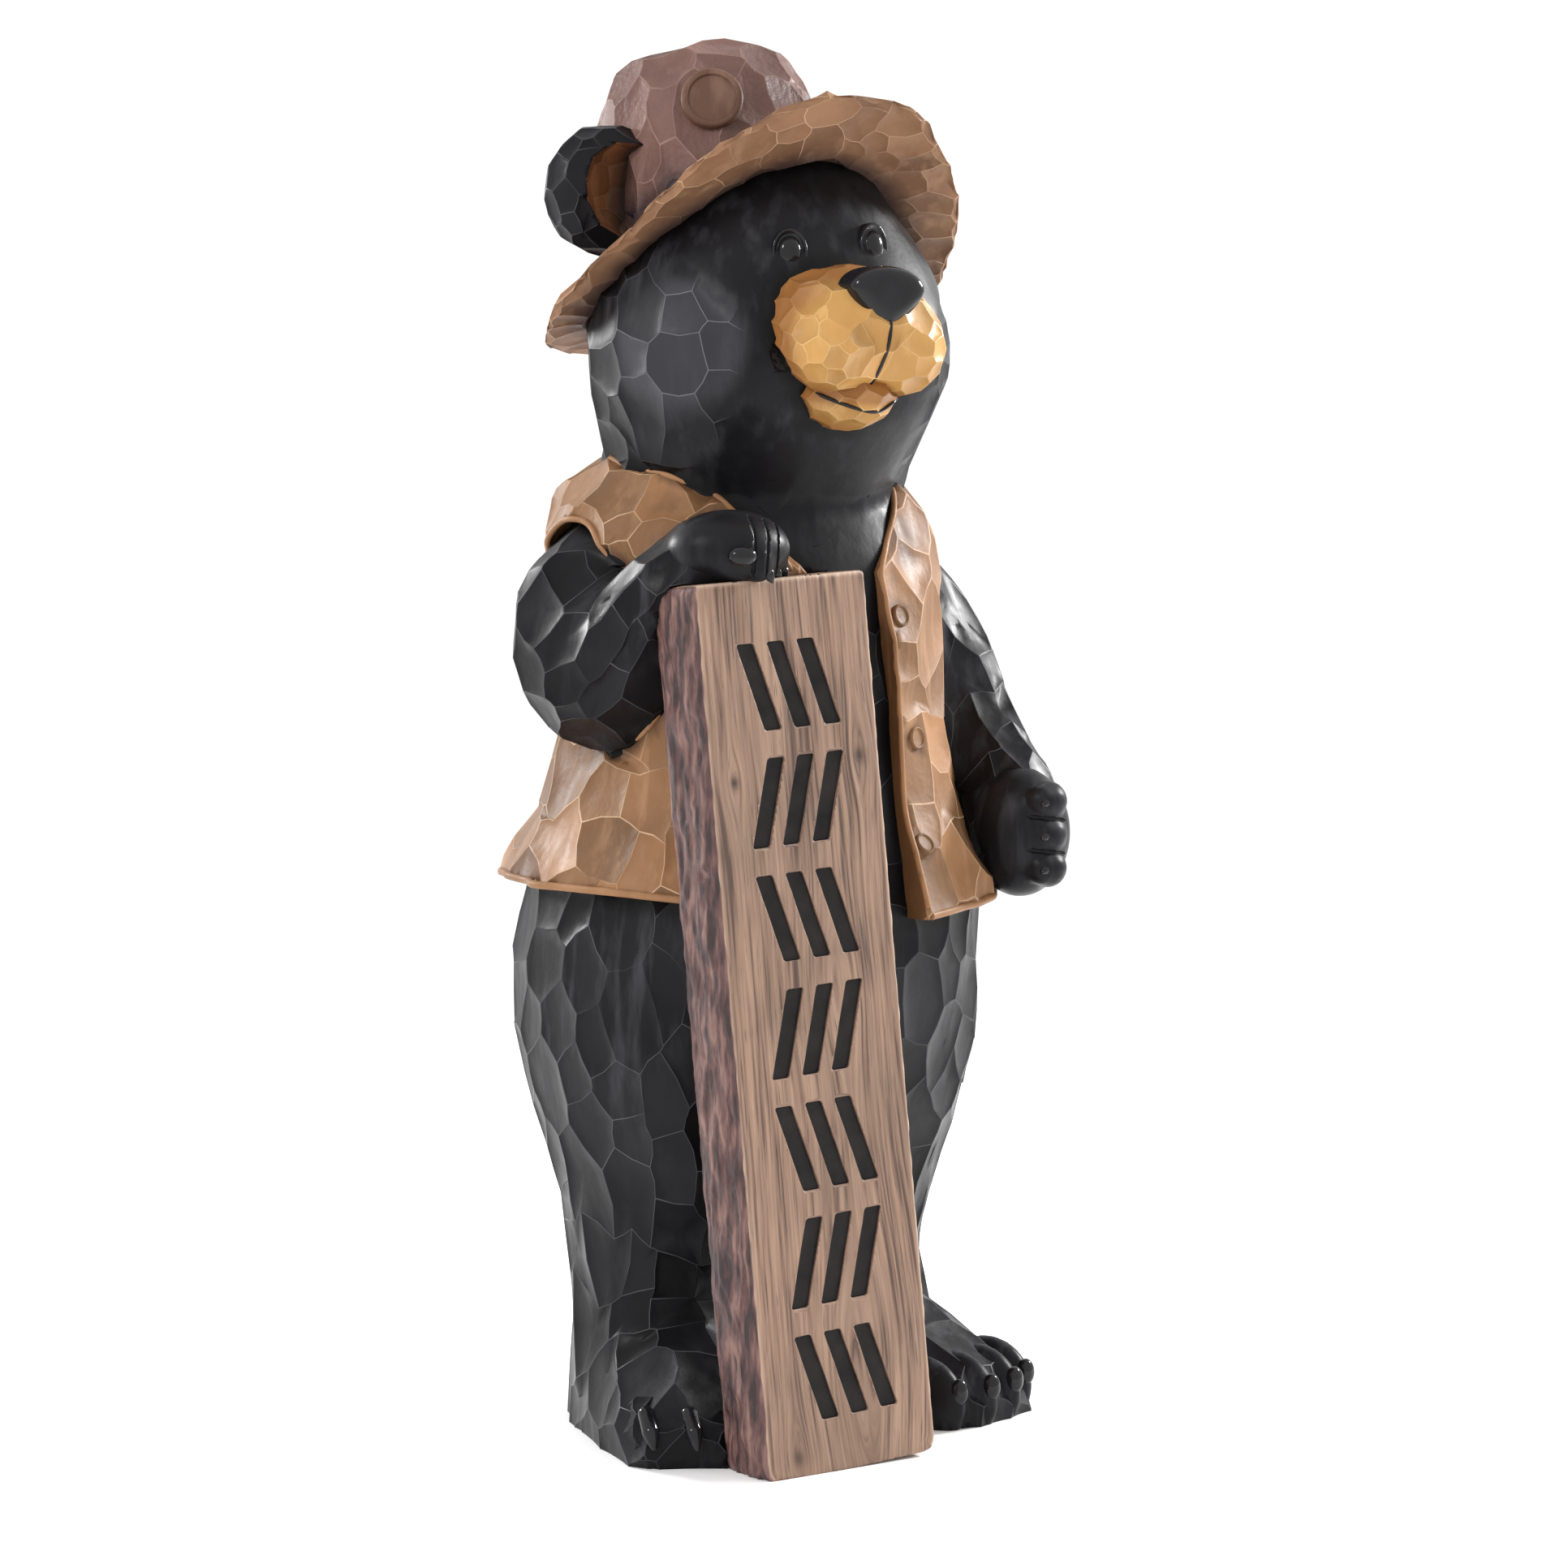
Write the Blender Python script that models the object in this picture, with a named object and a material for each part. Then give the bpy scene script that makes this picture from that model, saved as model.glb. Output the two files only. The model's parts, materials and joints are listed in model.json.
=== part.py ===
"""A chainsaw carved bear with a live-edge sign board, at its real size.

Metres, +Z up. The bear looks along -Y, and its right side is at -X. The figure is carved from one log, so
its body, hat and waistcoat are one solid. Its places and sizes are given in carving units: there are 910 of
them in the figure's height, so a unit is a millimetre at the real size. The board and the eyes have sizes of
their own.
"""
import bpy
import bmesh
import math
import random
from mathutils import Matrix, Vector
from mathutils.bvhtree import BVHTree

# driving dimensions
FIGURE_HEIGHT = 0.910
BOARD_WIDTH = 0.130
BOARD_THICKNESS = 0.047
BOARD_LENGTH = 0.563
BOARD_LEAN = math.radians(4.0)
BOARD_TILT = math.radians(3.0)
BARK_DEPTH = 0.006
STROKE_DEPTH = 0.0015
STROKE_WIDTH = 0.013
STROKE_ROWS = 7
STROKES_IN_ROW = 3
EYE_WIDTH = 0.0235
EYE_HEIGHT = 0.030
EYE_DOME = 0.006
EYE_SEAT = 0.006
FIT_GAP = 0.0003
EYE_SIDES = 18

UNIT = FIGURE_HEIGHT / 910.0
HEAD_CENTRE = (0.0, -30.0, 710.0)
HEAD_TURN = math.radians(-6.0)
HEAD_ROLL = math.radians(3.0)
SIDES = {"right": -1, "left": 1}


def clear_scene():
    for old in list(bpy.data.objects):
        bpy.data.objects.remove(old, do_unlink=True)


def material(name, colour, roughness):
    made = bpy.data.materials.new(name)
    made.use_nodes = True
    shader = made.node_tree.nodes["Principled BSDF"]
    shader.inputs["Base Color"].default_value = (*colour, 1.0)
    shader.inputs["Roughness"].default_value = roughness
    made.diffuse_color = (*colour, 1.0)
    return made


def new_object(name, bm, finish):
    """An object from a bmesh, with its faces pointing out and one material."""
    bmesh.ops.recalc_face_normals(bm, faces=bm.faces)
    mesh = bpy.data.meshes.new(name)
    bm.to_mesh(mesh)
    bm.free()
    mesh.materials.append(finish)
    made = bpy.data.objects.new(name, mesh)
    bpy.context.scene.collection.objects.link(made)
    return made


def settle(obj):
    """Applies the object's modifiers and its place, as the viewport shows them."""
    graph = bpy.context.evaluated_depsgraph_get()
    graph.update()
    mesh = bpy.data.meshes.new_from_object(obj.evaluated_get(graph), depsgraph=graph)
    mesh.transform(obj.matrix_world)
    obj.modifiers.clear()
    obj.matrix_world = Matrix.Identity(4)
    obj.data = mesh
    return obj


def remove(obj):
    bpy.data.objects.remove(obj, do_unlink=True)


def combine(target, other, operation):
    """A Boolean of two closed objects, applied at once. Each face keeps its own material."""
    step = target.modifiers.new(operation, "BOOLEAN")
    step.operation = operation
    step.solver = "EXACT"
    step.material_mode = "TRANSFER"
    step.object = other
    settle(target)
    remove(other)
    return target


# the head has a frame of its own, turned and tipped on the neck
HEAD_FRAME = (
    Matrix.Translation(Vector(HEAD_CENTRE))
    @ Matrix.Rotation(HEAD_TURN, 4, "Z")
    @ Matrix.Rotation(HEAD_ROLL, 4, "Y")
)


def ring(z, wide, deep, centre=(0.0, 0.0), power=2.2, steps=40):
    """A level section of the figure: a rounded oval, slightly squarish."""
    points = []
    for k in range(steps):
        angle = 2 * math.pi * k / steps
        c, s = math.cos(angle), math.sin(angle)
        x = wide * math.copysign(abs(c) ** (2 / power), c)
        y = deep * math.copysign(abs(s) ** (2 / power), s)
        points.append(Vector((x + centre[0], y + centre[1], z)))
    return points


def loft(name, rings, finish, frame=Matrix.Identity(4)):
    """A closed body through a stack of rings with the same number of points."""
    bm = bmesh.new()
    scale = Matrix.Scale(UNIT, 4) @ frame
    rows = [[bm.verts.new(scale @ p) for p in points] for points in rings]
    for low, high in zip(rows, rows[1:]):
        for k in range(len(low)):
            nxt = (k + 1) % len(low)
            bm.faces.new((low[k], low[nxt], high[nxt], high[k]))
    bm.faces.new(list(reversed(rows[0])))
    bm.faces.new(rows[-1])
    return new_object(name, bm, finish)


def ball(name, centre, radii, finish, frame=Matrix.Identity(4), turn=Matrix.Identity(4), detail=3):
    """An ellipsoid, in carving units."""
    bm = bmesh.new()
    bmesh.ops.create_icosphere(bm, subdivisions=detail, radius=1.0)
    place = frame @ Matrix.Translation(Vector(centre)) @ turn @ Matrix.Diagonal((*radii, 1.0))
    bm.transform(Matrix.Scale(UNIT, 4) @ place)
    return new_object(name, bm, finish)


def limb(name, stations, finish, steps=16):
    """A tube with rounded ends through stations of (x, y, z, radius), on a smooth curve."""
    knots = [Vector(s[:3]) for s in stations]
    radii = [s[3] for s in stations]
    path, sizes = [], []
    for i in range(len(knots) - 1):
        before = knots[max(i - 1, 0)]
        after = knots[min(i + 2, len(knots) - 1)]
        for k in range(6):
            t = k / 6
            start, end = knots[i], knots[i + 1]
            lean_in, lean_out = (end - before) / 2, (after - start) / 2
            path.append(
                start * (2 * t**3 - 3 * t**2 + 1)
                + lean_in * (t**3 - 2 * t**2 + t)
                + end * (3 * t**2 - 2 * t**3)
                + lean_out * (t**3 - t**2)
            )
            sizes.append(radii[i] + (radii[i + 1] - radii[i]) * (3 * t**2 - 2 * t**3))
    path.append(knots[-1])
    sizes.append(radii[-1])
    rows = []
    side = Vector((1, 0, 0))
    for i, spot in enumerate(path):
        along = (path[min(i + 1, len(path) - 1)] - path[max(i - 1, 0)]).normalized()
        side = (side - along * side.dot(along)).normalized()
        up = along.cross(side)
        offsets = [0.0]
        if i == 0:
            offsets = [-0.9, -0.6, 0.0]
        if i == len(path) - 1:
            offsets = [0.0, 0.6, 0.9]
        for off in offsets:
            size = sizes[i] * math.sqrt(max(1 - off * off, 0.0))
            rows.append(
                [
                    spot + along * off * sizes[i] + (side * math.cos(a) + up * math.sin(a)) * size
                    for a in (2 * math.pi * k / steps for k in range(steps))
                ]
            )
    return loft(name, rows, finish)


def melt(name, parts, voxel, smooth, finish):
    """Joins overlapping bodies into one skin whose joints are blended, as a carver rounds them off."""
    bm = bmesh.new()
    for part in parts:
        bm.from_mesh(part.data)
    for part in parts:
        remove(part)
    whole = new_object(name, bm, finish)
    step = whole.modifiers.new("skin", "REMESH")
    step.mode = "VOXEL"
    step.voxel_size = voxel * UNIT
    blend = whole.modifiers.new("blend", "SMOOTH")
    blend.factor = 0.5
    blend.iterations = smooth
    return settle(whole)


def carve(obj, facets, seed, roughness=0.5, tilt=0.05):
    """Cuts a smooth skin into about so many flat facets, as a chainsaw and a gouge leave them.

    The skin is thinned to a mesh with one point for each facet. Each facet lies in the plane of its point,
    and its corners are where the planes of three neighbours meet.
    """
    draw = random.Random(seed)
    finish = list(obj.data.materials)
    bm = bmesh.new()
    bm.from_mesh(obj.data)
    bmesh.ops.triangulate(bm, faces=bm.faces)
    bm.normal_update()
    shifts = [v.normal * draw.gauss(0.0, roughness * UNIT) for v in bm.verts]
    for vert, shift in zip(bm.verts, shifts):
        vert.co += shift
    bm.to_mesh(obj.data)
    faces = len(bm.faces)
    bm.free()
    step = obj.modifiers.new("thin", "DECIMATE")
    step.ratio = min(1.0, 2.0 * facets / faces)
    settle(obj)
    bm = bmesh.new()
    bm.from_mesh(obj.data)
    bmesh.ops.triangulate(bm, faces=bm.faces)
    flaps = [v for v in bm.verts if len(v.link_faces) < 3]
    bmesh.ops.delete(bm, geom=flaps, context="VERTS")
    for _ in range(2):
        bmesh.ops.smooth_vert(
            bm, verts=bm.verts, factor=0.35, use_axis_x=True, use_axis_y=True, use_axis_z=True
        )
    bm.normal_update()
    middles = {f: f.calc_center_median() for f in bm.faces}
    spots, normals = {}, {}
    for vert in bm.verts:
        around = sum((middles[f] for f in vert.link_faces), Vector()) / len(vert.link_faces)
        spots[vert] = vert.co * 0.65 + around * 0.35
        normals[vert] = (vert.normal + Vector([draw.gauss(0.0, tilt) for _ in range(3)])).normalized()
    made = bmesh.new()
    corners, safe, planes = {}, {}, []
    number = made.faces.layers.int.new("facet")
    for face in bm.faces:
        corners[face] = made.verts.new(meeting(list(face.verts), spots, normals))
        safe[corners[face]] = sum((spots[v] for v in face.verts), Vector()) / 3
    for vert in bm.verts:
        facet = made.faces.new([corners[f] for f in ordered_faces(vert)])
        facet[number] = len(planes)
        planes.append(vert.normal.copy())
    bm.free()
    bmesh.ops.recalc_face_normals(made, faces=made.faces)
    bmesh.ops.triangulate(made, faces=made.faces)
    ease_crossings(made, safe, planes)
    bmesh.ops.recalc_face_normals(made, faces=made.faces)
    made.to_mesh(obj.data)
    made.free()
    if not obj.data.materials:
        for one in finish:
            obj.data.materials.append(one)
    return obj


def ease_crossings(bm, safe, planes, rounds=16):
    """Draws the corners of facets that fold over or cut through each other back towards safe places."""
    number = bm.faces.layers.int["facet"]
    for _ in range(rounds):
        bm.normal_update()
        bm.faces.ensure_lookup_table()
        tree = BVHTree.FromBMesh(bm)
        hit = set()
        for face in bm.faces:
            if face.normal.dot(planes[face[number]]) < 0.35:
                hit.update(face.verts)
        for a, b in tree.overlap(tree):
            one, two = bm.faces[a], bm.faces[b]
            if a < b and not set(one.verts) & set(two.verts):
                hit.update(one.verts)
                hit.update(two.verts)
        if not hit:
            return
        for vert in hit:
            vert.co = vert.co.lerp(safe[vert], 0.5)


def meeting(verts, spots, normals):
    """The point where three facet planes meet, held near their middle where they are almost level."""
    middle = sum((spots[v] for v in verts), Vector()) / 3
    hold = 0.02
    rows = Matrix.Diagonal((hold, hold, hold))
    right = Vector((0, 0, 0))
    for v in verts:
        n = normals[v]
        for i in range(3):
            for j in range(3):
                rows[i][j] += n[i] * n[j]
        right += n * n.dot(spots[v] - middle)
    step = rows.inverted() @ right
    reach = 0.45 * min((spots[a] - spots[b]).length for a, b in zip(verts, verts[1:] + verts[:1]))
    if step.length > reach:
        step *= reach / step.length
    return middle + step


def ordered_faces(vert):
    """The faces around a point, in order."""
    edge = vert.link_edges[0]
    face = edge.link_faces[0]
    start, loop = face, []
    while True:
        loop.append(face)
        edge = next(e for e in face.edges if vert in e.verts and e is not edge)
        nxt = [f for f in edge.link_faces if f is not face]
        if not nxt:
            break
        face = nxt[0]
        if face is start:
            break
    return loop


# the trunk: height, half width, half depth, place of the middle from front to back
TRUNK = (
    (200, 136, 112, 2), (235, 151, 128, 2), (290, 156, 142, 0), (330, 153, 142, -2),
    (370, 144, 134, -5), (410, 126, 121, -5), (450, 116, 113, -8), (500, 117, 111, -9),
    (540, 121, 106, -6), (575, 128, 99, -3), (595, 124, 92, 0), (612, 103, 86, 0),
    (630, 78, 76, -10), (650, 74, 68, -12),
)

# the waistcoat: how far it stands off the trunk, and its sections at the hem and over the shoulders
VEST_CLOTH = 9.0
WAIST_LOW, WAIST_HIGH = 420, 560
HEM_FLARE = ((325, 171, 161, -3), (356, 170, 159, -2), (378, 154, 147, -4), (405, 138, 132, -5))
SHOULDER = (
    (575, 141, 112, 4), (594, 140, 104, 9), (611, 123, 96, 12), (626, 104, 88, 12), (638, 84, 78, 10),
)
OPENING = (
    (-30, 300), (33, 300), (36, 470), (31, 560), (66, 606), (84, 670), (-84, 670), (-66, 606),
    (-24, 560), (-32, 470),
)
OPENING_DEPTH = (-260, -12)
HEM_CUT = ((-260, 200), (260, 200), (260, 350), (30, 339), (-260, 371))
HEM_DEPTH = (-260, 260)

# the head, in the same way
SKULL = (
    (590, 80, 78, 2), (612, 84, 82, -14), (636, 101, 95, -17), (662, 114, 106, -26),
    (694, 123, 114, -29), (725, 121, 110, -28), (760, 112, 100, -21), (795, 100, 90, -14),
    (822, 84, 78, -6), (845, 58, 54, 0), (856, 30, 28, 2),
)
TAIL_PLACE, TAIL_SIZE = (0, 138, 300), (38, 34, 36)

# a leg: height, half width, half depth, and how far out and back its middle is
LEG = (
    (-32, 60, 66, 69, 4), (40, 57, 64, 69, 4), (80, 55, 63, 69, 2), (120, 57, 67, 70, -4),
    (160, 61, 78, 72, -8), (200, 69, 93, 76, -8), (240, 76, 110, 77, -4), (285, 76, 120, 77, 0),
)

# a foot: how far forward, half width and height, from the heel to the ball
FOOT_SHAPE = (
    (-50, 38, 60), (-32, 52, 92), (15, 57, 99), (55, 61, 80), (90, 63, 61), (118, 60, 50),
    (138, 54, 40), (147, 46, 28),
)
FOOT_OUT = 68
FOOT_SPLAY = math.radians(19)
SOLE_DEPTH = 34
TOE_SIDEWAYS = (-40, -14, 13, 38)
TOE_FORWARD, TOE_SIZE = 126, (15.5, 25, 32)


def leg_sections(s):
    """Level sections of the leg on one side."""
    return [ring(z, wide, deep, (s * x, y)) for z, wide, deep, x, y in LEG]


def foot_frame(s):
    """The foot points outwards by its splay, along the frame's -Y, from under the ankle."""
    return Matrix.Translation(Vector((s * FOOT_OUT, 0, 0))) @ Matrix.Rotation(s * FOOT_SPLAY, 4, "Z")


def foot_sections():
    """Upright sections of the foot, rounded above and running a little below the ground."""
    rows = []
    for forward, wide, high in FOOT_SHAPE:
        points = []
        for k in range(24):
            angle = 2 * math.pi * k / 24
            c, s = math.cos(angle), math.sin(angle)
            height = high * s**0.75 if s > 0 else SOLE_DEPTH * s
            points.append(Vector((wide * math.copysign(abs(c) ** 0.75, c), -forward, height)))
        rows.append(points)
    return rows


def make_coat(coat):
    """The black carved wood: trunk, legs, feet, arms and head."""
    parts = [loft("trunk", [ring(z, a, b, (0, y)) for z, a, b, y in TRUNK], coat)]
    for s in SIDES.values():
        parts.append(loft("leg", leg_sections(s), coat))
        parts.append(loft("foot", foot_sections(), coat, foot_frame(s)))
    parts.append(limb("right arm", RIGHT_ARM, coat))
    parts.append(limb("left arm", LEFT_ARM, coat))
    parts.append(ball("right hand", RIGHT_PAW, RIGHT_HAND, coat, turn=Matrix.Rotation(HAND_TURN, 4, "Z")))
    parts.append(ball("left hand", LEFT_PAW, LEFT_HAND, coat))
    parts.append(loft("skull", skull_sections(), coat, HEAD_FRAME))
    parts.append(ball("tail", TAIL_PLACE, TAIL_SIZE, coat))
    whole = melt("bear", parts, 5.0, 7, coat)
    return carve(whole, 760, 11)


def skull_sections():
    """The skull's level sections, in the head's frame."""
    _, y0, z0 = HEAD_CENTRE
    return [ring(z - z0, wide, deep, (0, y - y0), 2.1) for z, wide, deep, y in SKULL]


BOARD_FOOT = (-44, -187, 0)


def board_frame():
    """The board's own frame: the front of its foot, X across, Y into the thickness, Z up its length."""
    return (
        Matrix.Translation(Vector(BOARD_FOOT) * UNIT)
        @ Matrix.Rotation(-BOARD_TILT, 4, "Y")
        @ Matrix.Rotation(-BOARD_LEAN, 4, "X")
    )


def board_top(across, inward):
    """A place on the top of the board, in carving units."""
    spot = board_frame() @ Vector((across * BOARD_WIDTH, inward * BOARD_THICKNESS, BOARD_LENGTH))
    return spot / UNIT


# the arms, as places and radii from the shoulder to the paw; the right paw lies on top of the board
TOP = board_top(-0.18, 0.5)
RIGHT_PAW, RIGHT_HAND, HAND_TURN = (TOP.x, TOP.y, TOP.z + 20), (42, 33, 24), -0.1
RIGHT_ARM = (
    (-114, 5, 558, 38), (-136, -3, 534, 46), (-140, -28, 490, 42), (-132, -64, 515, 35),
    (TOP.x - 26, TOP.y + 16, TOP.z + 9, 29), (TOP.x - 4, TOP.y + 3, TOP.z + 18, 26),
)
LEFT_PAW, LEFT_HAND = (146, -113, 387), (35, 38, 46)
LEFT_ARM = (
    (112, 0, 557, 40), (137, -8, 518, 44), (151, -34, 466, 40), (153, -78, 424, 33), (147, -104, 398, 32),
)


def wedge(name, outline, low, high, finish, scale=Matrix.Scale(UNIT, 4)):
    """A prism with an outline in X and Z, from one depth to another, in carving units unless scaled."""
    bm = bmesh.new()
    near = [bm.verts.new(scale @ Vector((x, low, z))) for x, z in outline]
    far = [bm.verts.new(scale @ Vector((x, high, z))) for x, z in outline]
    bm.faces.new(near)
    bm.faces.new(list(reversed(far)))
    for k in range(len(near)):
        nxt = (k + 1) % len(near)
        bm.faces.new((near[k], far[k], far[nxt], near[nxt]))
    return new_object(name, bm, finish)


def make_vest(cloth):
    """The waistcoat, proud of the trunk, with a flared hem and open down the front."""
    middle = [(z, a + VEST_CLOTH, b + VEST_CLOTH, y) for z, a, b, y in TRUNK if WAIST_LOW < z < WAIST_HIGH]
    rows = [*HEM_FLARE, *middle, *SHOULDER]
    shell = loft("shell", [ring(z, a, b, (0, y)) for z, a, b, y in rows], cloth)
    vest = carve(melt("vest", [shell], 5.0, 2, cloth), 240, 23)
    combine(vest, wedge("opening", OPENING, *OPENING_DEPTH, cloth), "DIFFERENCE")
    return combine(vest, wedge("hem cut", HEM_CUT, *HEM_DEPTH, cloth), "DIFFERENCE")


# the hat's brim: its middle, radii and thickness, and its height round the head as a mean and waves
BRIM_MIDDLE = (3, -5)
BRIM_ROOT, BRIM_EDGE, BRIM_THICK = 68, 144, 11
ROOT_HEIGHT, ROOT_WAVES = 760, (54, 11, 0, 0)
EDGE_HEIGHT, EDGE_WAVES = 761, (82, 22, -5, -6)
BRIM_CURL = 1.25
BRIM_STEPS, BRIM_BANDS = 34, 3


def wave(mean, waves, angle):
    """A height that swings once and twice round the head, and more on one side than on the other."""
    once, twice, aslant, sideways = waves
    even = once * math.cos(angle) + twice * math.cos(2 * angle)
    return mean + even + aslant * math.sin(2 * angle) + sideways * math.sin(angle)


def brim_height(angle, reach):
    """The brim's height at an angle from the front, between its root (0) and its edge (1)."""
    root = wave(ROOT_HEIGHT, ROOT_WAVES, angle)
    edge = wave(EDGE_HEIGHT, EDGE_WAVES, angle)
    return root + (edge - root) * reach**BRIM_CURL


def make_brim(cloth):
    """The floppy brim in flat cuts: turned up in front, low behind."""
    draw = random.Random(31)
    bm = bmesh.new()
    under, over = [], []
    for j in range(BRIM_BANDS + 1):
        reach = j / BRIM_BANDS
        low_row, high_row = [], []
        for k in range(BRIM_STEPS):
            angle = 2 * math.pi * (k + 0.5 * (j % 2) + draw.uniform(-0.22, 0.22)) / BRIM_STEPS
            radius = BRIM_ROOT + (BRIM_EDGE - BRIM_ROOT) * reach + draw.uniform(-2.2, 2.2) * (0 < j)
            x = BRIM_MIDDLE[0] + radius * math.sin(angle)
            y = BRIM_MIDDLE[1] - radius * math.cos(angle)
            z = brim_height(angle, reach) + draw.uniform(-1.3, 1.3) * (0 < j)
            tip = BRIM_THICK * (1 - 0.35 * reach) / 2
            low_row.append(bm.verts.new(Vector((x, y, z - tip)) * UNIT))
            high_row.append(bm.verts.new(Vector((x, y + 2, z + tip)) * UNIT))
        under.append(low_row)
        over.append(high_row)
    rows = over + list(reversed(under))
    for low, high in zip(rows, rows[1:] + rows[:1]):
        for k in range(BRIM_STEPS):
            nxt = (k + 1) % BRIM_STEPS
            bm.faces.new((low[k], low[nxt], high[nxt], high[k]))
    bmesh.ops.triangulate(bm, faces=bm.faces)
    return new_object("brim", bm, cloth)


# the hat's crown: the ends of its leaning axis, its radius, its taper, and how its top edge is rounded
CROWN_FOOT, CROWN_TOP = Vector((-6, 8, 758)), Vector((-4, 53, 897))
CROWN_AXIS = CROWN_TOP - CROWN_FOOT
CROWN_FRAME = (
    Matrix.Translation(CROWN_FOOT)
    @ Vector((0, 0, 1)).rotation_difference(CROWN_AXIS).to_matrix().to_4x4()
)
CROWN_RADIUS, CROWN_TAPER = 86, 18
CROWN_ROUND_FROM, CROWN_ROUND = 0.86, 20
BAND_PROUD, BAND_FROM, BAND_TO = 3.0, 0.05, 0.34
MEDALLION_RADIUS, MEDALLION_TURN, MEDALLION_UP = 20, math.radians(-34), 0.65


def crown_sections(grow=0.0, low=0.0, high=1.0, steps=8):
    """The crown's sections along its leaning axis, between two shares of its height."""
    rows = []
    for k in range(steps + 1):
        share = low + (high - low) * k / steps
        size = CROWN_RADIUS - CROWN_TAPER * share + grow
        if share > CROWN_ROUND_FROM:
            size -= CROWN_ROUND * ((share - CROWN_ROUND_FROM) / (1 - CROWN_ROUND_FROM)) ** 2
        rows.append([CROWN_FRAME @ p for p in ring(share * CROWN_AXIS.length, size, size * 0.96)])
    return rows


def make_crown(felt, band):
    """The crown, with a band round its foot and a plain disc on its front."""
    crown = carve(melt("crown", [loft("block", crown_sections(), felt)], 4.5, 2, felt), 110, 37, 0.6)
    ribbon = loft("band", crown_sections(BAND_PROUD, BAND_FROM, BAND_TO, 3), band)
    combine(crown, ribbon, "UNION")
    return combine(crown, make_medallion(felt), "UNION")


def make_medallion(felt):
    """A plain turned disc with a dished face, on the crown."""
    reach = (CROWN_RADIUS - CROWN_TAPER * MEDALLION_UP) * 0.99
    place = (
        CROWN_FRAME
        @ Matrix.Rotation(MEDALLION_TURN, 4, "Z")
        @ Matrix.Translation(Vector((0, -reach, MEDALLION_UP * CROWN_AXIS.length)))
        @ Matrix.Rotation(math.radians(90), 4, "X")
    )
    profile = ((-8, 1.0), (3.0, 1.0), (4.5, 0.9), (4.5, 0.75), (2.5, 0.55))
    rows = [
        ring(z, MEDALLION_RADIUS * share, MEDALLION_RADIUS * share, steps=24, power=2) for z, share in profile
    ]
    return loft("medallion", rows, felt, place)


# the face, in the head's frame: places and half sizes of the muzzle's lobes, the jaw, the nose and the ears,
# then each eye's place, the way it looks, and how far out the line that finds its seat passes and starts
MUZZLE_LOBES = (
    ((0, -100, 10), (56, 58, 38)),
    ((-24, -124, -5), (33, 36, 34)),
    ((24, -124, -5), (33, 36, 34)),
    ((0, -108, 27), (29, 42, 20)),
)
JAW_PLACE, JAW_SIZE = (0, -101, -35), (36, 43, 25)
NOSE_PLACE = (1, -143, 30)
NOSE_HALF_WIDTH, NOSE_UP, NOSE_DOWN = 26, 14, 25
EAR_PLACE, EAR_SIZE = (101, 42, 91), (48, 27, 47)
EAR_HOLLOW, EAR_HOLLOW_SIZE = (-7, -23, 0), (35, 22, 35)
EYE_PLACES = {"right": (-39, 54), "left": (32, 62)}
EYE_TURN, EYE_TIP = math.radians(14), math.radians(-6)
EYE_FORWARD, EYE_SIGHT = 100, 200


def make_muzzle(ochre):
    """The muzzle's two lobes, and the jaw under them."""
    lobes = [ball("lobe", place, size, ochre, HEAD_FRAME) for place, size in MUZZLE_LOBES]
    muzzle = carve(melt("muzzle", lobes, 3.5, 3, ochre), 100, 41, 0.3)
    chin = ball("chin", JAW_PLACE, JAW_SIZE, ochre, HEAD_FRAME)
    jaw = carve(melt("jaw", [chin], 3.5, 1, ochre), 40, 43, 0.3)
    return combine(muzzle, jaw, "UNION")


def make_nose(gloss):
    """A glossy nose, a rounded diamond with a flatter top."""
    rows = []
    for forward, size in ((-12, 1.0), (5, 1.0), (11, 0.86), (14, 0.6)):
        points = []
        for k in range(20):
            angle = 2 * math.pi * k / 20
            c, s = math.cos(angle), math.sin(angle)
            power, high = (2.0, NOSE_UP) if s > 0 else (1.35, NOSE_DOWN)
            reach = size * (abs(c) ** power + abs(s) ** power) ** (-1 / power)
            points.append(Vector((NOSE_HALF_WIDTH * reach * c, -forward, high * reach * s)))
        rows.append(points)
    return loft("nose", rows, gloss, HEAD_FRAME @ Matrix.Translation(Vector(NOSE_PLACE)))


def make_ear(s, coat, inner):
    """A round ear with a hollow that faces forward."""
    mirror = Matrix.Diagonal((s, 1, 1))
    place = mirror @ Vector(EAR_PLACE)
    shell = melt("ear", [ball("flap", place, EAR_SIZE, coat, HEAD_FRAME)], 4.0, 1, coat)
    carve(shell, 48, 51 + s, 0.4)
    inside = place + mirror @ Vector(EAR_HOLLOW)
    hollow = ball("hollow", inside, EAR_HOLLOW_SIZE, inner, HEAD_FRAME, detail=2)
    return combine(shell, hollow, "DIFFERENCE")


def claw(start, tip, size, gloss, frame=Matrix.Identity(4)):
    """A short curved claw, thick at its root."""
    along = (tip - start).normalized()
    droop = Vector((0, 0, -1)) * size * 0.35
    side = along.orthogonal().normalized()
    up = along.cross(side)
    rows = []
    for share, thick in ((-0.6, 0.9), (0.4, 0.95), (1.0, 0.35)):
        spot = start + (tip - start) * share + droop * share * share
        rows.append([
            spot + (side * math.cos(a) + up * math.sin(a)) * size * thick
            for a in (2 * math.pi * k / 6 for k in range(6))
        ])
    return loft("claw", rows, gloss, frame)


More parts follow.
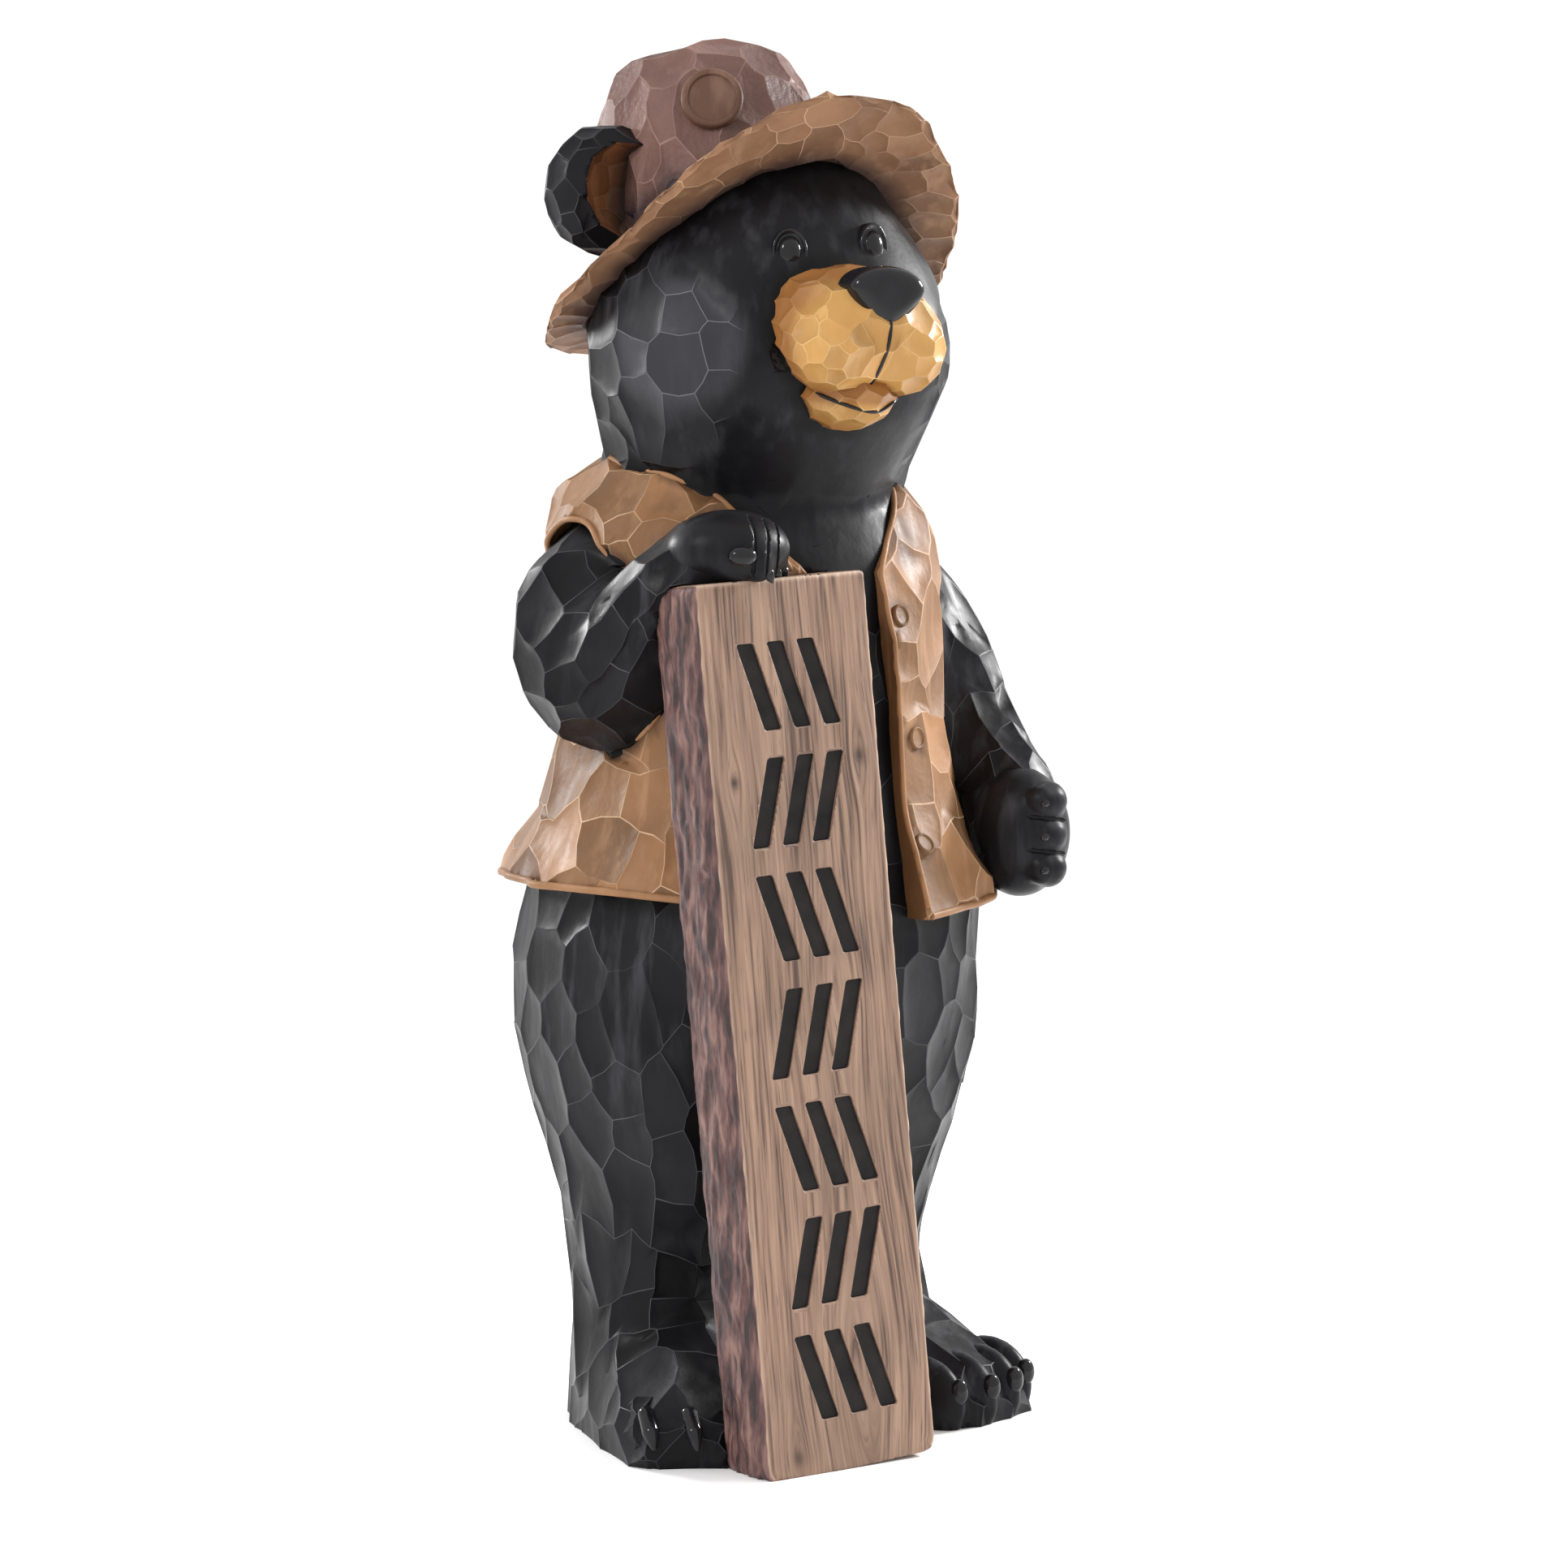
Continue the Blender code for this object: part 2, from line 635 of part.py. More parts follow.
def make_toes(s, coat, gloss):
    """Four toes with claws at the front of a foot."""
    toes, claws = [], []
    for side in TOE_SIDEWAYS:
        forward = TOE_FORWARD - 0.30 * abs(side)
        toes.append(ball("toe", (side, -forward, 15), TOE_SIZE, coat, foot_frame(s)))
        start = Vector((side, -forward - 12, 24))
        claws.append(claw(start, start + Vector((0, -13, -7)), 5.6, gloss, foot_frame(s)))
    group = carve(melt("toes", toes, 4.0, 1, coat), 46, 61 + s, 0.3)
    for one in claws:
        combine(group, one, "UNION")
    return group


# the fingers of each paw: how many, their radius, pitch and reach, and how far each one outreaches the last
FINGERS = 3
RIGHT_FINGER, RIGHT_PITCH, RIGHT_REACH, RIGHT_STAGGER = 12.5, 17.0, 21, 4.0
LEFT_FINGER, LEFT_PITCH, LEFT_REACH, LEFT_STAGGER = 14.0, 22.0, 27, 0.0
KNUCKLE_SHARE, FINGER_DROP, FINGER_CURL = 0.3, 4, 6
CLAW_SIZE, CLAW_FORWARD, CLAW_DOWN = 4.4, 4, 6


def make_fingers(name, palm, ways, sizes, coat, gloss, seed):
    """Curled fingers with claws at their tips, side by side on the front of a paw."""
    along, down, spread = ways
    size, pitch, reach, stagger = sizes
    fingers, claws = [], []
    for k in range(FINGERS):
        rank = k - (FINGERS - 1) / 2
        middle = palm + spread * rank * pitch + along * rank * stagger
        tip = middle + along * reach + down * FINGER_DROP
        end = tip + down * FINGER_CURL + along * 2
        knuckle = middle + along * reach * KNUCKLE_SHARE
        stations = [(*knuckle, size), (*tip, size * 0.95), (*end, size * 0.8)]
        fingers.append(limb("finger", stations, coat, 12))
        root = end + along * size * 0.4 + down * 2
        claws.append(claw(root, root + along * CLAW_FORWARD + down * CLAW_DOWN, CLAW_SIZE, gloss))
    group = carve(melt(name, fingers, 3.5, 1, coat), 44, seed, 0.3)
    for one in claws:
        combine(group, one, "UNION")
    return group


def make_right_fingers(coat, gloss):
    """The right paw's fingers, bent down over the end of the board's top."""
    along = Vector((0.80, -0.60, 0)).normalized()
    spread = Vector((0.60, 0.80, 0)).normalized()
    ways = (along, Vector((0, 0, -1)), spread)
    sizes = (RIGHT_FINGER, RIGHT_PITCH, RIGHT_REACH, RIGHT_STAGGER)
    return make_fingers("right fingers", Vector(RIGHT_PAW), ways, sizes, coat, gloss, 71)


def make_left_fingers(coat, gloss):
    """The left fist's fingers, one above the other, bent in towards the belly."""
    along = Vector((0.12, -0.99, 0)).normalized()
    ways = (along, Vector((-1, 0, 0)), Vector((0, 0, 1)))
    sizes = (LEFT_FINGER, LEFT_PITCH, LEFT_REACH, LEFT_STAGGER)
    return make_fingers("left fingers", Vector(LEFT_PAW), ways, sizes, coat, gloss, 73)


BUTTON_RADIUS, BUTTON_HEIGHTS, BUTTON_SIDE = 7.2, (534, 455, 390), 46
IN_FRONT = -400


def surface(obj, start, way):
    """Where a line in carving units first meets a body, and the way its skin faces there."""
    tree = BVHTree.FromObject(obj, bpy.context.evaluated_depsgraph_get())
    spot, normal, _, _ = tree.ray_cast(Vector(start) * UNIT, Vector(way))
    return spot / UNIT, normal


def make_button(vest, height, cloth):
    """A round button, dished like a coin, on the left front of the waistcoat."""
    spot, normal = surface(vest, (BUTTON_SIDE, IN_FRONT, height), (0, 1, 0))
    turn = Vector((0, 0, 1)).rotation_difference(normal).to_matrix().to_4x4()
    profile = ((-3, 1.0), (2.6, 1.0), (3.4, 0.86), (2.6, 0.64))
    rows = [ring(z, BUTTON_RADIUS * share, BUTTON_RADIUS * share, steps=16, power=2) for z, share in profile]
    return loft("button", rows, cloth, Matrix.Translation(spot) @ turn)


BOARD_CORNER, BOARD_END_ROUND, BARK_BULGE = 0.003, 0.004, 0.004
BOARD_STATIONS = 14


def board_sections():
    """Level sections up the board: sawn on its front, back and left, with bark down its right side."""
    draw = random.Random(5)
    half, corner = BOARD_WIDTH / 2, BOARD_CORNER
    rows = []
    for i in range(BOARD_STATIONS):
        height = BOARD_LENGTH * i / (BOARD_STATIONS - 1)
        ease = BOARD_END_ROUND if i in (0, BOARD_STATIONS - 1) else 0.0
        bark = [draw.uniform(-0.5, 0.5) * BARK_DEPTH for _ in range(3)]
        ragged = draw.uniform(-0.3, 0.3) * BARK_DEPTH
        left = -half + ease
        right = half - ease + ragged * 0.5
        near, far = ease * 0.7, BOARD_THICKNESS - ease * 0.7
        outline = (
            (left + corner + bark[0] * 0.3, near),
            (right - corner, near),
            (right, near + corner),
            (right + ragged * 0.3, far - corner),
            (right - corner, far),
            (left + corner * 2, far),
            (left - bark[2], far - corner * 2),
            (left - BARK_BULGE - bark[1], BOARD_THICKNESS / 2),
            (left - bark[0], near + corner * 1.6),
        )
        rows.append([Vector((x, y, height)) for x, y in outline])
    return rows


def board_solid(name, finish, grow=0.0):
    """The board, in its place against the chest. Grown, it is its own clearance."""
    bm = bmesh.new()
    rows = [[bm.verts.new(p) for p in points] for points in board_sections()]
    for low, high in zip(rows, rows[1:]):
        for k in range(len(low)):
            nxt = (k + 1) % len(low)
            bm.faces.new((low[k], low[nxt], high[nxt], high[k]))
    bm.faces.new(list(reversed(rows[0])))
    bm.faces.new(rows[-1])
    bmesh.ops.triangulate(bm, faces=bm.faces)
    bmesh.ops.recalc_face_normals(bm, faces=bm.faces)
    if grow:
        bm.normal_update()
        for vert, shift in [(v, v.calc_shell_factor() * v.normal) for v in bm.verts]:
            vert.co += shift * grow
    bm.transform(board_frame())
    return new_object(name, bm, finish)


# the rows of strokes down the board, as shares of its length and of the stroke's width
ROW_PITCH, ROW_FIRST, STROKE_TALL, STROKE_SLANT, STROKE_PITCH = 0.1285, 0.92, 0.76, 0.3, 1.75


def stroke_outline(row, k):
    """The slanting outline of a stroke on the board's front. The rows slant to and fro in turn."""
    pitch = BOARD_LENGTH * ROW_PITCH
    middle = BOARD_LENGTH - pitch * (row + ROW_FIRST)
    tall = pitch * STROKE_TALL
    slant = tall * STROKE_SLANT * (1 if row % 2 else -1)
    across = (k - (STROKES_IN_ROW - 1) / 2) * STROKE_WIDTH * STROKE_PITCH
    return [
        (across + (side * STROKE_WIDTH + end * slant) / 2, middle + end * tall / 2)
        for side, end in ((-1, -1), (1, -1), (1, 1), (-1, 1))
    ]


def make_board(wood, paint):
    """The sign board, cut level at the ground, with rows of painted strokes cut down its front."""
    board = board_solid("sign_plank", wood)
    for row in range(STROKE_ROWS):
        for k in range(STROKES_IN_ROW):
            outline = stroke_outline(row, k)
            stroke = wedge("stroke", outline, -STROKE_DEPTH, STROKE_DEPTH, paint, board_frame())
            combine(board, stroke, "DIFFERENCE")
    return combine(board, below_ground(wood), "DIFFERENCE")


def below_ground(finish):
    """A block under the ground plane, which cuts feet and board level."""
    bm = bmesh.new()
    bmesh.ops.create_cube(bm, size=1.0)
    bm.transform(Matrix.Translation((0, 0, -0.25)) @ Matrix.Diagonal((1.0, 1.0, 0.5, 1.0)))
    return new_object("ground", bm, finish)


def eye_frame(bear, name):
    """The eye's own frame: its Z looks out of the head, where a line through the eye meets the face."""
    side, up = EYE_PLACES[name]
    turn = HEAD_FRAME @ Matrix.Rotation(SIDES[name] * EYE_TURN, 4, "Z") @ Matrix.Rotation(EYE_TIP, 4, "X")
    way = (turn.to_3x3() @ Vector((0, 1, 0))).normalized()
    start = HEAD_FRAME @ Vector((side, -EYE_FORWARD, up)) - way * EYE_SIGHT
    spot, _ = surface(bear, start, way)
    look = turn.to_3x3().to_4x4() @ Matrix.Rotation(math.radians(90), 4, "X")
    return Matrix.Translation(spot * UNIT) @ look


def oval(name, frame, rows, finish):
    """A closed body of oval sections of (height, share of the eye's size, growth)."""
    bm = bmesh.new()
    sections = []
    for height, share, grow in rows:
        wide, tall = EYE_WIDTH / 2 * share + grow, EYE_HEIGHT / 2 * share + grow
        angles = [2 * math.pi * k / EYE_SIDES for k in range(EYE_SIDES)]
        sections.append(
            [bm.verts.new(frame @ Vector((wide * math.cos(a), tall * math.sin(a), height))) for a in angles]
        )
    for low, high in zip(sections, sections[1:]):
        for k in range(EYE_SIDES):
            nxt = (k + 1) % EYE_SIDES
            bm.faces.new((low[k], low[nxt], high[nxt], high[k]))
    bm.faces.new(list(reversed(sections[0])))
    bm.faces.new(sections[-1])
    return new_object(name, bm, finish)


def make_eye(name, bear, gloss):
    """A domed eye set in an oval socket."""
    frame = eye_frame(bear, name)
    socket = oval("socket", frame, ((-EYE_SEAT - FIT_GAP, 1.0, FIT_GAP), (EYE_DOME * 3, 1.0, FIT_GAP)), gloss)
    combine(bear, socket, "DIFFERENCE")
    dome = [(EYE_DOME * math.sin(a), math.cos(a), 0.0) for a in (math.radians(d) for d in (0, 25, 50, 72))]
    return oval("eye_" + name, frame, [(-EYE_SEAT, 1.0, 0.0), *dome], gloss)


def build():
    coat = material("black coat", (0.028, 0.028, 0.032), 0.4)
    tan = material("tan waistcoat", (0.33, 0.19, 0.095), 0.55)
    felt = material("brown hat", (0.33, 0.18, 0.10), 0.6)
    mauve = material("mauve crown", (0.20, 0.12, 0.10), 0.65)
    band = material("dark band", (0.035, 0.022, 0.028), 0.5)
    ochre = material("ochre muzzle", (0.60, 0.35, 0.10), 0.5)
    gloss = material("gloss black", (0.01, 0.01, 0.011), 0.12)
    inner = material("ear brown", (0.22, 0.10, 0.045), 0.6)
    wood = material("sawn board", (0.42, 0.26, 0.17), 0.65)
    clear_scene()
    bear = make_coat(coat)
    vest = make_vest(tan)
    for height in BUTTON_HEIGHTS:
        combine(vest, make_button(vest, height, tan), "UNION")
    combine(bear, vest, "UNION")
    for s in SIDES.values():
        combine(bear, make_ear(s, coat, inner), "UNION")
        combine(bear, make_toes(s, coat, gloss), "UNION")
    combine(bear, make_brim(felt), "UNION")
    combine(bear, make_crown(mauve, band), "UNION")
    muzzle = make_muzzle(ochre)
    combine(muzzle, make_nose(gloss), "UNION")
    combine(bear, muzzle, "UNION")
    combine(bear, make_right_fingers(coat, gloss), "UNION")
    combine(bear, make_left_fingers(coat, gloss), "UNION")
    combine(bear, board_solid("board clearance", coat, FIT_GAP), "DIFFERENCE")
    combine(bear, below_ground(coat), "DIFFERENCE")
    clear_slivers(bear)
    for name in SIDES:
        make_eye(name, bear, gloss)
    make_board(wood, gloss)
    stand_on_origin()


CARVED_TRIANGLES = 8000


def clear_slivers(obj):
    """Closes up the thin slivers that the joins leave, and hardly moves anything else."""
    triangles = sum(len(face.vertices) - 2 for face in obj.data.polygons)
    step = obj.modifiers.new("slivers", "DECIMATE")
    step.ratio = min(1.0, CARVED_TRIANGLES / triangles)
    settle(obj)


def stand_on_origin():
    """Moves everything so that the middle of the whole footprint box is the origin."""
    corners = [v.co for obj in bpy.context.scene.objects for v in obj.data.vertices]
    low = Vector([min(c[i] for c in corners) for i in range(3)])
    high = Vector([max(c[i] for c in corners) for i in range(3)])
    shift = Matrix.Translation(-Vector(((low.x + high.x) / 2, (low.y + high.y) / 2, low.z)))
    for obj in bpy.context.scene.objects:
        obj.data.transform(shift)


build()
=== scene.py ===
# %% [markdown]
# # A bear carved with a chainsaw
#
# The real object is one log of wood, roughed out with a chainsaw and cut into flat facets with a gouge,
# then stained: a black bear with a tan waistcoat and a brown hat, one paw on a tall sign board with bark on
# one edge. The solid frame holds its size and pose. This notebook makes the surface: every facet, ridge,
# fold and grain. The frame comes first, because each piece is placed by it.

# %% Load the frame
import json
import math
import random
from contextlib import contextmanager

import bmesh
import bpy
from mathutils import Matrix, Vector, noise
from mathutils.bvhtree import BVHTree

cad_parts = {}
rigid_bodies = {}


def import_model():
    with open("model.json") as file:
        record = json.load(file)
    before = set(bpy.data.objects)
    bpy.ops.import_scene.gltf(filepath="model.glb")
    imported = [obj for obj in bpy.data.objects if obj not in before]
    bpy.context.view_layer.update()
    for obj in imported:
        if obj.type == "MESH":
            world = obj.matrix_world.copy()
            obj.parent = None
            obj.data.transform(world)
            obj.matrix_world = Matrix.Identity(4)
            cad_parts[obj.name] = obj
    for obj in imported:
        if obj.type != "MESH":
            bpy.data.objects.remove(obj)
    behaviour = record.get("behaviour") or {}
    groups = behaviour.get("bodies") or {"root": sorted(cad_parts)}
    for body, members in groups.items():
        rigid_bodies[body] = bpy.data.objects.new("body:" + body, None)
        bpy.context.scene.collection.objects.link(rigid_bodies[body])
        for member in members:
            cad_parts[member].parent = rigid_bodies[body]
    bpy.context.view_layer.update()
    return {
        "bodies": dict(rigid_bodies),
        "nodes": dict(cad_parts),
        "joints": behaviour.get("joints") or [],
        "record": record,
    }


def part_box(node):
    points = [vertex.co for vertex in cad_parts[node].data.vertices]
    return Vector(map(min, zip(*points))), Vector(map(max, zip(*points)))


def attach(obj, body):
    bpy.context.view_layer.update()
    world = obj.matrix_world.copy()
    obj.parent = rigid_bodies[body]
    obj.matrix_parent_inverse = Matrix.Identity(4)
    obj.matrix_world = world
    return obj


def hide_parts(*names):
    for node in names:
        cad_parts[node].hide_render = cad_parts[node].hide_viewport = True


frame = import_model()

# %% [markdown]
# ## The carver's measures
#
# The carving is measured in millimetres from the heart of the log, where it stands on the ground. The
# board's corner is known in those measures too, so the board's box in the frame says where the log stands.
# The head is turned and tipped on the neck, so it has a frame of its own, and everything on the face is
# measured in it. A last frame looks at the carving from its right front, for details that are drawn as they
# are seen from there. Rays that look for the skin start far in front of the bear.

# %% Frames for the body and the head
MM = 0.001
BOARD_CORNER = Vector((-141.02, -184.21, 0.0))
board_low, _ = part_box("sign_plank")
LOG = Vector((board_low.x, board_low.y, 0.0)) - BOARD_CORNER * MM
BODY = Matrix.Translation(LOG) @ Matrix.Scale(MM, 4)
NECK = Vector((0, -30, 710))
HEAD = (
    BODY
    @ Matrix.Translation(NECK)
    @ Matrix.Rotation(math.radians(-6), 4, "Z")
    @ Matrix.Rotation(math.radians(3), 4, "Y")
)
ASIDE = BODY @ Matrix.Rotation(math.radians(-35), 4, "Z")
FAR = -400
SIDES = (("right", -1), ("left", 1))
print("the log stands at", [round(c, 4) for c in LOG])

# %% [markdown]
# ## Hand tools
#
# Blender's operators act on what is selected, so each step starts by selecting one object. A ball is the
# first lump of clay: added at its place and size. A stack is a body grown like a tree: a ring is filled,
# extruded upwards and scaled, section after section. A limb is a curve with a thick bevel, made into a
# mesh.

# %% Select, settle and apply
def only(*objs):
    """Selects these objects and nothing else."""
    bpy.ops.object.select_all(action="DESELECT")
    for obj in objs:
        obj.select_set(True)
    bpy.context.view_layer.objects.active = objs[0]
    return objs[0]


def settle(obj):
    """Moves an object's place, turn and size into its mesh."""
    only(obj)
    bpy.ops.object.transform_apply(location=True, rotation=True, scale=True)
    return obj


def apply(obj, kind, **settings):
    """Adds a modifier, sets it up and applies it."""
    only(obj)
    step = obj.modifiers.new(kind.lower(), kind)
    for key, value in settings.items():
        setattr(step, key, value)
    bpy.ops.object.modifier_apply(modifier=step.name)
    return obj


# %% Edit mode, shading, names and notes
@contextmanager
def editing(obj):
    """Edit mode with everything selected, for as long as a with block lasts."""
    only(obj)
    bpy.ops.object.mode_set(mode="EDIT")
    bpy.ops.mesh.select_all(action="SELECT")
    yield
    bpy.ops.object.mode_set(mode="OBJECT")


def shaded(obj):
    """Shades an object smooth."""
    only(obj)
    bpy.ops.object.shade_smooth()
    return obj


def named(obj, name):
    """Names an object and its mesh."""
    obj.name = obj.data.name = name
    return obj


def placed(data, name):
    """Puts a mesh, a bmesh or a curve into the scene as an object."""
    if isinstance(data, bmesh.types.BMesh):
        made = bpy.data.meshes.new(name)
        data.to_mesh(made)
        data.free()
        data = made
    obj = bpy.data.objects.new(name, data)
    bpy.context.collection.objects.link(obj)
    return obj


def note(obj, name, where, values):
    """Keeps a number for each face or each point, for the stains to use."""
    obj.data.attributes.new(name, "FLOAT", where).data.foreach_set("value", values)


# %% Thick curves
def thick_curve(name, spots, radii, bevel, resolution):
    """A round rod through places, with a radius at each in bevels, as a mesh."""
    curve = bpy.data.curves.new(name, "CURVE")
    curve.dimensions = "3D"
    curve.bevel_depth = bevel * MM
    curve.bevel_resolution = resolution
    curve.use_fill_caps = True
    spline = curve.splines.new("BEZIER")
    spline.bezier_points.add(len(spots) - 1)
    for point, spot, radius in zip(spline.bezier_points, spots, radii):
        point.co = spot
        point.radius = radius
        point.handle_left_type = point.handle_right_type = "AUTO"
    only(placed(curve, name))
    bpy.ops.object.convert(target="MESH")
    return bpy.context.object


# %% Balls, stacks and limbs
def ball(place, size, frame=BODY, turn=0.0, detail=4):
    """An ellipsoid with its half sizes in millimetres."""
    turned = frame.to_3x3().normalized() @ Matrix.Rotation(turn, 3, "Z")
    bpy.ops.mesh.primitive_ico_sphere_add(
        subdivisions=detail, radius=MM, location=frame @ Vector(place),
        rotation=turned.to_euler(), scale=size,
    )
    return settle(bpy.context.object)


def squarish(c, s, power=2.2):
    """A point on a rounded oval that is a little square, as a log that was sawn round is."""
    return math.copysign(abs(c) ** (2 / power), c), math.copysign(abs(s) ** (2 / power), s)


def stack(sections, frame=BODY, corners=40, shape=squarish):
    """A body through sections of (height, half width, half depth, middle across, middle along)."""
    z, wide, deep, x, y = sections[0]
    bpy.ops.mesh.primitive_circle_add(vertices=corners, radius=1, fill_type="NGON")
    body = bpy.context.object
    for v in body.data.vertices:
        across, along = shape(v.co.x, v.co.y)
        v.co = (x + wide * across, y + deep * along, z)
    with editing(body):
        for (z0, a0, b0, x0, y0), (z1, a1, b1, x1, y1) in zip(sections, sections[1:]):
            step = (x1 - x0, y1 - y0, z1 - z0)
            bpy.ops.mesh.extrude_region_move(TRANSFORM_OT_translate={"value": step})
            bpy.ops.transform.resize(value=(a1 / a0, b1 / b0, 1), center_override=(x1, y1, z1))
        bpy.ops.mesh.select_all(action="SELECT")
        bpy.ops.mesh.normals_make_consistent(inside=False)
    body.data.transform(frame)
    return body


def limb(stations, frame=BODY):
    """A thick curve through (x, y, z, radius), with a ball at each end."""
    spots = [frame @ Vector(station[:3]) for station in stations]
    rod = thick_curve("limb", spots, [station[3] for station in stations], 1, 5)
    ends = [ball(s[:3], (s[3],) * 3, frame, detail=3) for s in (stations[0], stations[-1])]
    return [rod, *ends]


# %% [markdown]
# ## Melting lumps into one body
#
# Overlapping lumps are joined, and a voxel remesh gives them one skin, as if they were clay pressed
# together. A few rounds of smoothing then soften the joints. The voxel is the size of the smallest form
# that has to survive.

# %% Melt
def melt(name, parts, voxel=5.0, smooth=7):
    """Joins lumps into one smooth skin."""
    only(*parts)
    bpy.ops.object.join()
    whole = named(bpy.context.object, name)
    apply(whole, "REMESH", mode="VOXEL", voxel_size=voxel * MM)
    apply(whole, "SMOOTH", factor=0.5, iterations=smooth)
    return whole


def sanded(obj, tone=0.5):
    """Leaves a skin smooth, with one tone all over."""
    shaded(obj)
    note(obj, "tone", "FACE", [tone] * len(obj.data.polygons))
    return obj


# %% [markdown]
# ## Cutting the facets
#
# A gouge leaves hollows that meet in sharp ridges. No modifier does that, so it is built from the smooth
# skin: the skin is thinned until it has one point for each facet, each point's plane becomes a facet, and a
# corner lies where three planes meet. Every facet then gets a narrow bevel along its ridge and a shallow
# hollow in its middle. Two attributes are kept for the stain: how near a point is to a ridge, and a tone
# for each facet.

# %% Plane geometry for the facets
LEVELLING, CORNER_REACH = 0.02, 0.45


def meeting(spots, normals):
    """The point where three facet planes meet, held near their middle where they are almost level."""
    middle = sum(spots, Vector()) / 3
    rows = Matrix.Diagonal((LEVELLING,) * 3)
    right = Vector()
    for spot, n in zip(spots, normals):
        for i in range(3):
            for j in range(3):
                rows[i][j] += n[i] * n[j]
        right += n * n.dot(spot - middle)
    step = rows.inverted() @ right
    reach = CORNER_REACH * min((a - b).length for a, b in zip(spots, spots[1:] + spots[:1]))
    if step.length > reach:
        step *= reach / step.length
    return middle + step


def faces_round(vert):
    """The faces around a point, in order."""
    face = vert.link_faces[0]
    edge = next(e for e in face.edges if vert in e.verts)
    loop = []
    while face not in loop:
        loop.append(face)
        edge = next(e for e in face.edges if vert in e.verts and e is not edge)
        face = next(f for f in edge.link_faces if f is not face)
    return loop


def relax(bm, verts, factor, rounds):
    """Smooths some points of a bmesh."""
    for _ in range(rounds):
        bmesh.ops.smooth_vert(
            bm, verts=verts, factor=factor, use_axis_x=True, use_axis_y=True, use_axis_z=True
        )


# %% Thin the skin and turn its points into facets
def cells(obj, count, draw, rough, tilt, stretch):
    """The facets of a skin, so many times taller than wide, as a bmesh of polygons that meet along ridges."""
    obj.data.transform(Matrix.Diagonal((1, 1, 1 / stretch, 1)))
    bm = bmesh.new()
    bm.from_mesh(obj.data)
    bmesh.ops.triangulate(bm, faces=bm.faces)
    bm.normal_update()
    for vert, shift in [(v, v.normal * draw.gauss(0.0, rough * MM)) for v in bm.verts]:
        vert.co += shift
    triangles = len(bm.faces)
    bm.to_mesh(obj.data)
    bm.free()
    apply(obj, "DECIMATE", ratio=min(1.0, 2.0 * count / triangles))
    bm = bmesh.new()
    bm.from_mesh(obj.data)
    bmesh.ops.triangulate(bm, faces=bm.faces)
    flaps = [v for v in bm.verts if len(v.link_faces) < 3]
    bmesh.ops.delete(bm, geom=flaps, context="VERTS")
    relax(bm, bm.verts, 0.35, 2)
    bm.normal_update()
    spots, normals = {}, {}
    for vert in bm.verts:
        around = sum((f.calc_center_median() for f in vert.link_faces), Vector()) / len(vert.link_faces)
        spots[vert] = vert.co * 0.65 + around * 0.35
        normals[vert] = (vert.normal + Vector([draw.gauss(0.0, tilt) for _ in range(3)])).normalized()
    made = bmesh.new()
    corner = {}
    for face in bm.faces:
        corner[face] = made.verts.new(
            meeting([spots[v] for v in face.verts], [normals[v] for v in face.verts])
        )
    for vert in bm.verts:
        made.faces.new([corner[f] for f in faces_round(vert)])
    bm.free()
    made.transform(Matrix.Diagonal((1, 1, stretch, 1)))
    bmesh.ops.recalc_face_normals(made, faces=made.faces)
    return made


# %% Wander the ridges and hollow each facet
BORDER_MOST, FULL_RADIUS = 0.22, 14
BOWL = ((0.62, 0.65), (0.28, 0.95))  # a ring's share of the radius, and its share of the depth


def bend_ridges(bm, draw, sway):
    """Splits each ridge in two and pushes its middle aside, because no gouge cuts a straight ridge."""
    for edge in list(bm.edges):
        a, b = (v.co.copy() for v in edge.verts)
        side = (b - a).cross(edge.verts[0].normal + edge.verts[1].normal)
        _, middle = bmesh.utils.edge_split(edge, edge.verts[0], 0.5)
        middle.co = (a + b) / 2 + side.normalized() * (b - a).length * draw.uniform(-sway, sway)


def hollow(bm, draw, scoop, bevel):
    """Gives each facet a bevelled border and a shallow hollow, and notes ridges and tones."""
    made = bmesh.new()
    near_ridge = made.verts.layers.float.new("ridge")
    tone = made.faces.layers.float.new("tone")
    border = {}
    for vert in bm.verts:
        border[vert] = made.verts.new(vert.co)
        border[vert][near_ridge] = 1.0
    for face in bm.faces:
        middle = face.calc_center_median()
        ring = [border[v] for v in face.verts]
        radius = sum((v.co - middle).length for v in ring) / len(ring)
        inset = min(bevel * MM, BORDER_MOST * radius)
        deep = scoop * MM * draw.uniform(0.35, 1.0) * min(1.0, radius / (FULL_RADIUS * MM))
        shade = draw.random()
        for share, hollowed in ((1 - inset / radius, 0.0), *BOWL):
            sink = face.normal * (inset * 0.3 + deep * hollowed)
            inner = [made.verts.new(middle + (v.co - middle) * share - sink) for v in face.verts]
            for k in range(len(ring)):
                nxt = (k + 1) % len(ring)
                made.faces.new((ring[k], ring[nxt], inner[nxt], inner[k]))[tone] = shade
            ring = inner
        made.faces.new(ring)[tone] = shade
    return made


def gouge(obj, count, seed, rough=0.5, tilt=0.05, scoop=1.2, bevel=1.1, sway=0.06, stretch=1.0):
    """Recuts a smooth skin into about so many gouged facets."""
    draw = random.Random(seed)
    flat = cells(obj, count, draw, rough, tilt, stretch)
    bend_ridges(flat, draw, sway)
    flat.normal_update()
    made = hollow(flat, draw, scoop, bevel)
    flat.free()
    bmesh.ops.recalc_face_normals(made, faces=made.faces)
    made.to_mesh(obj.data)
    made.free()
    shaded(obj)
    print(obj.name, "has", count, "facets and", len(obj.data.polygons), "faces")
    return obj


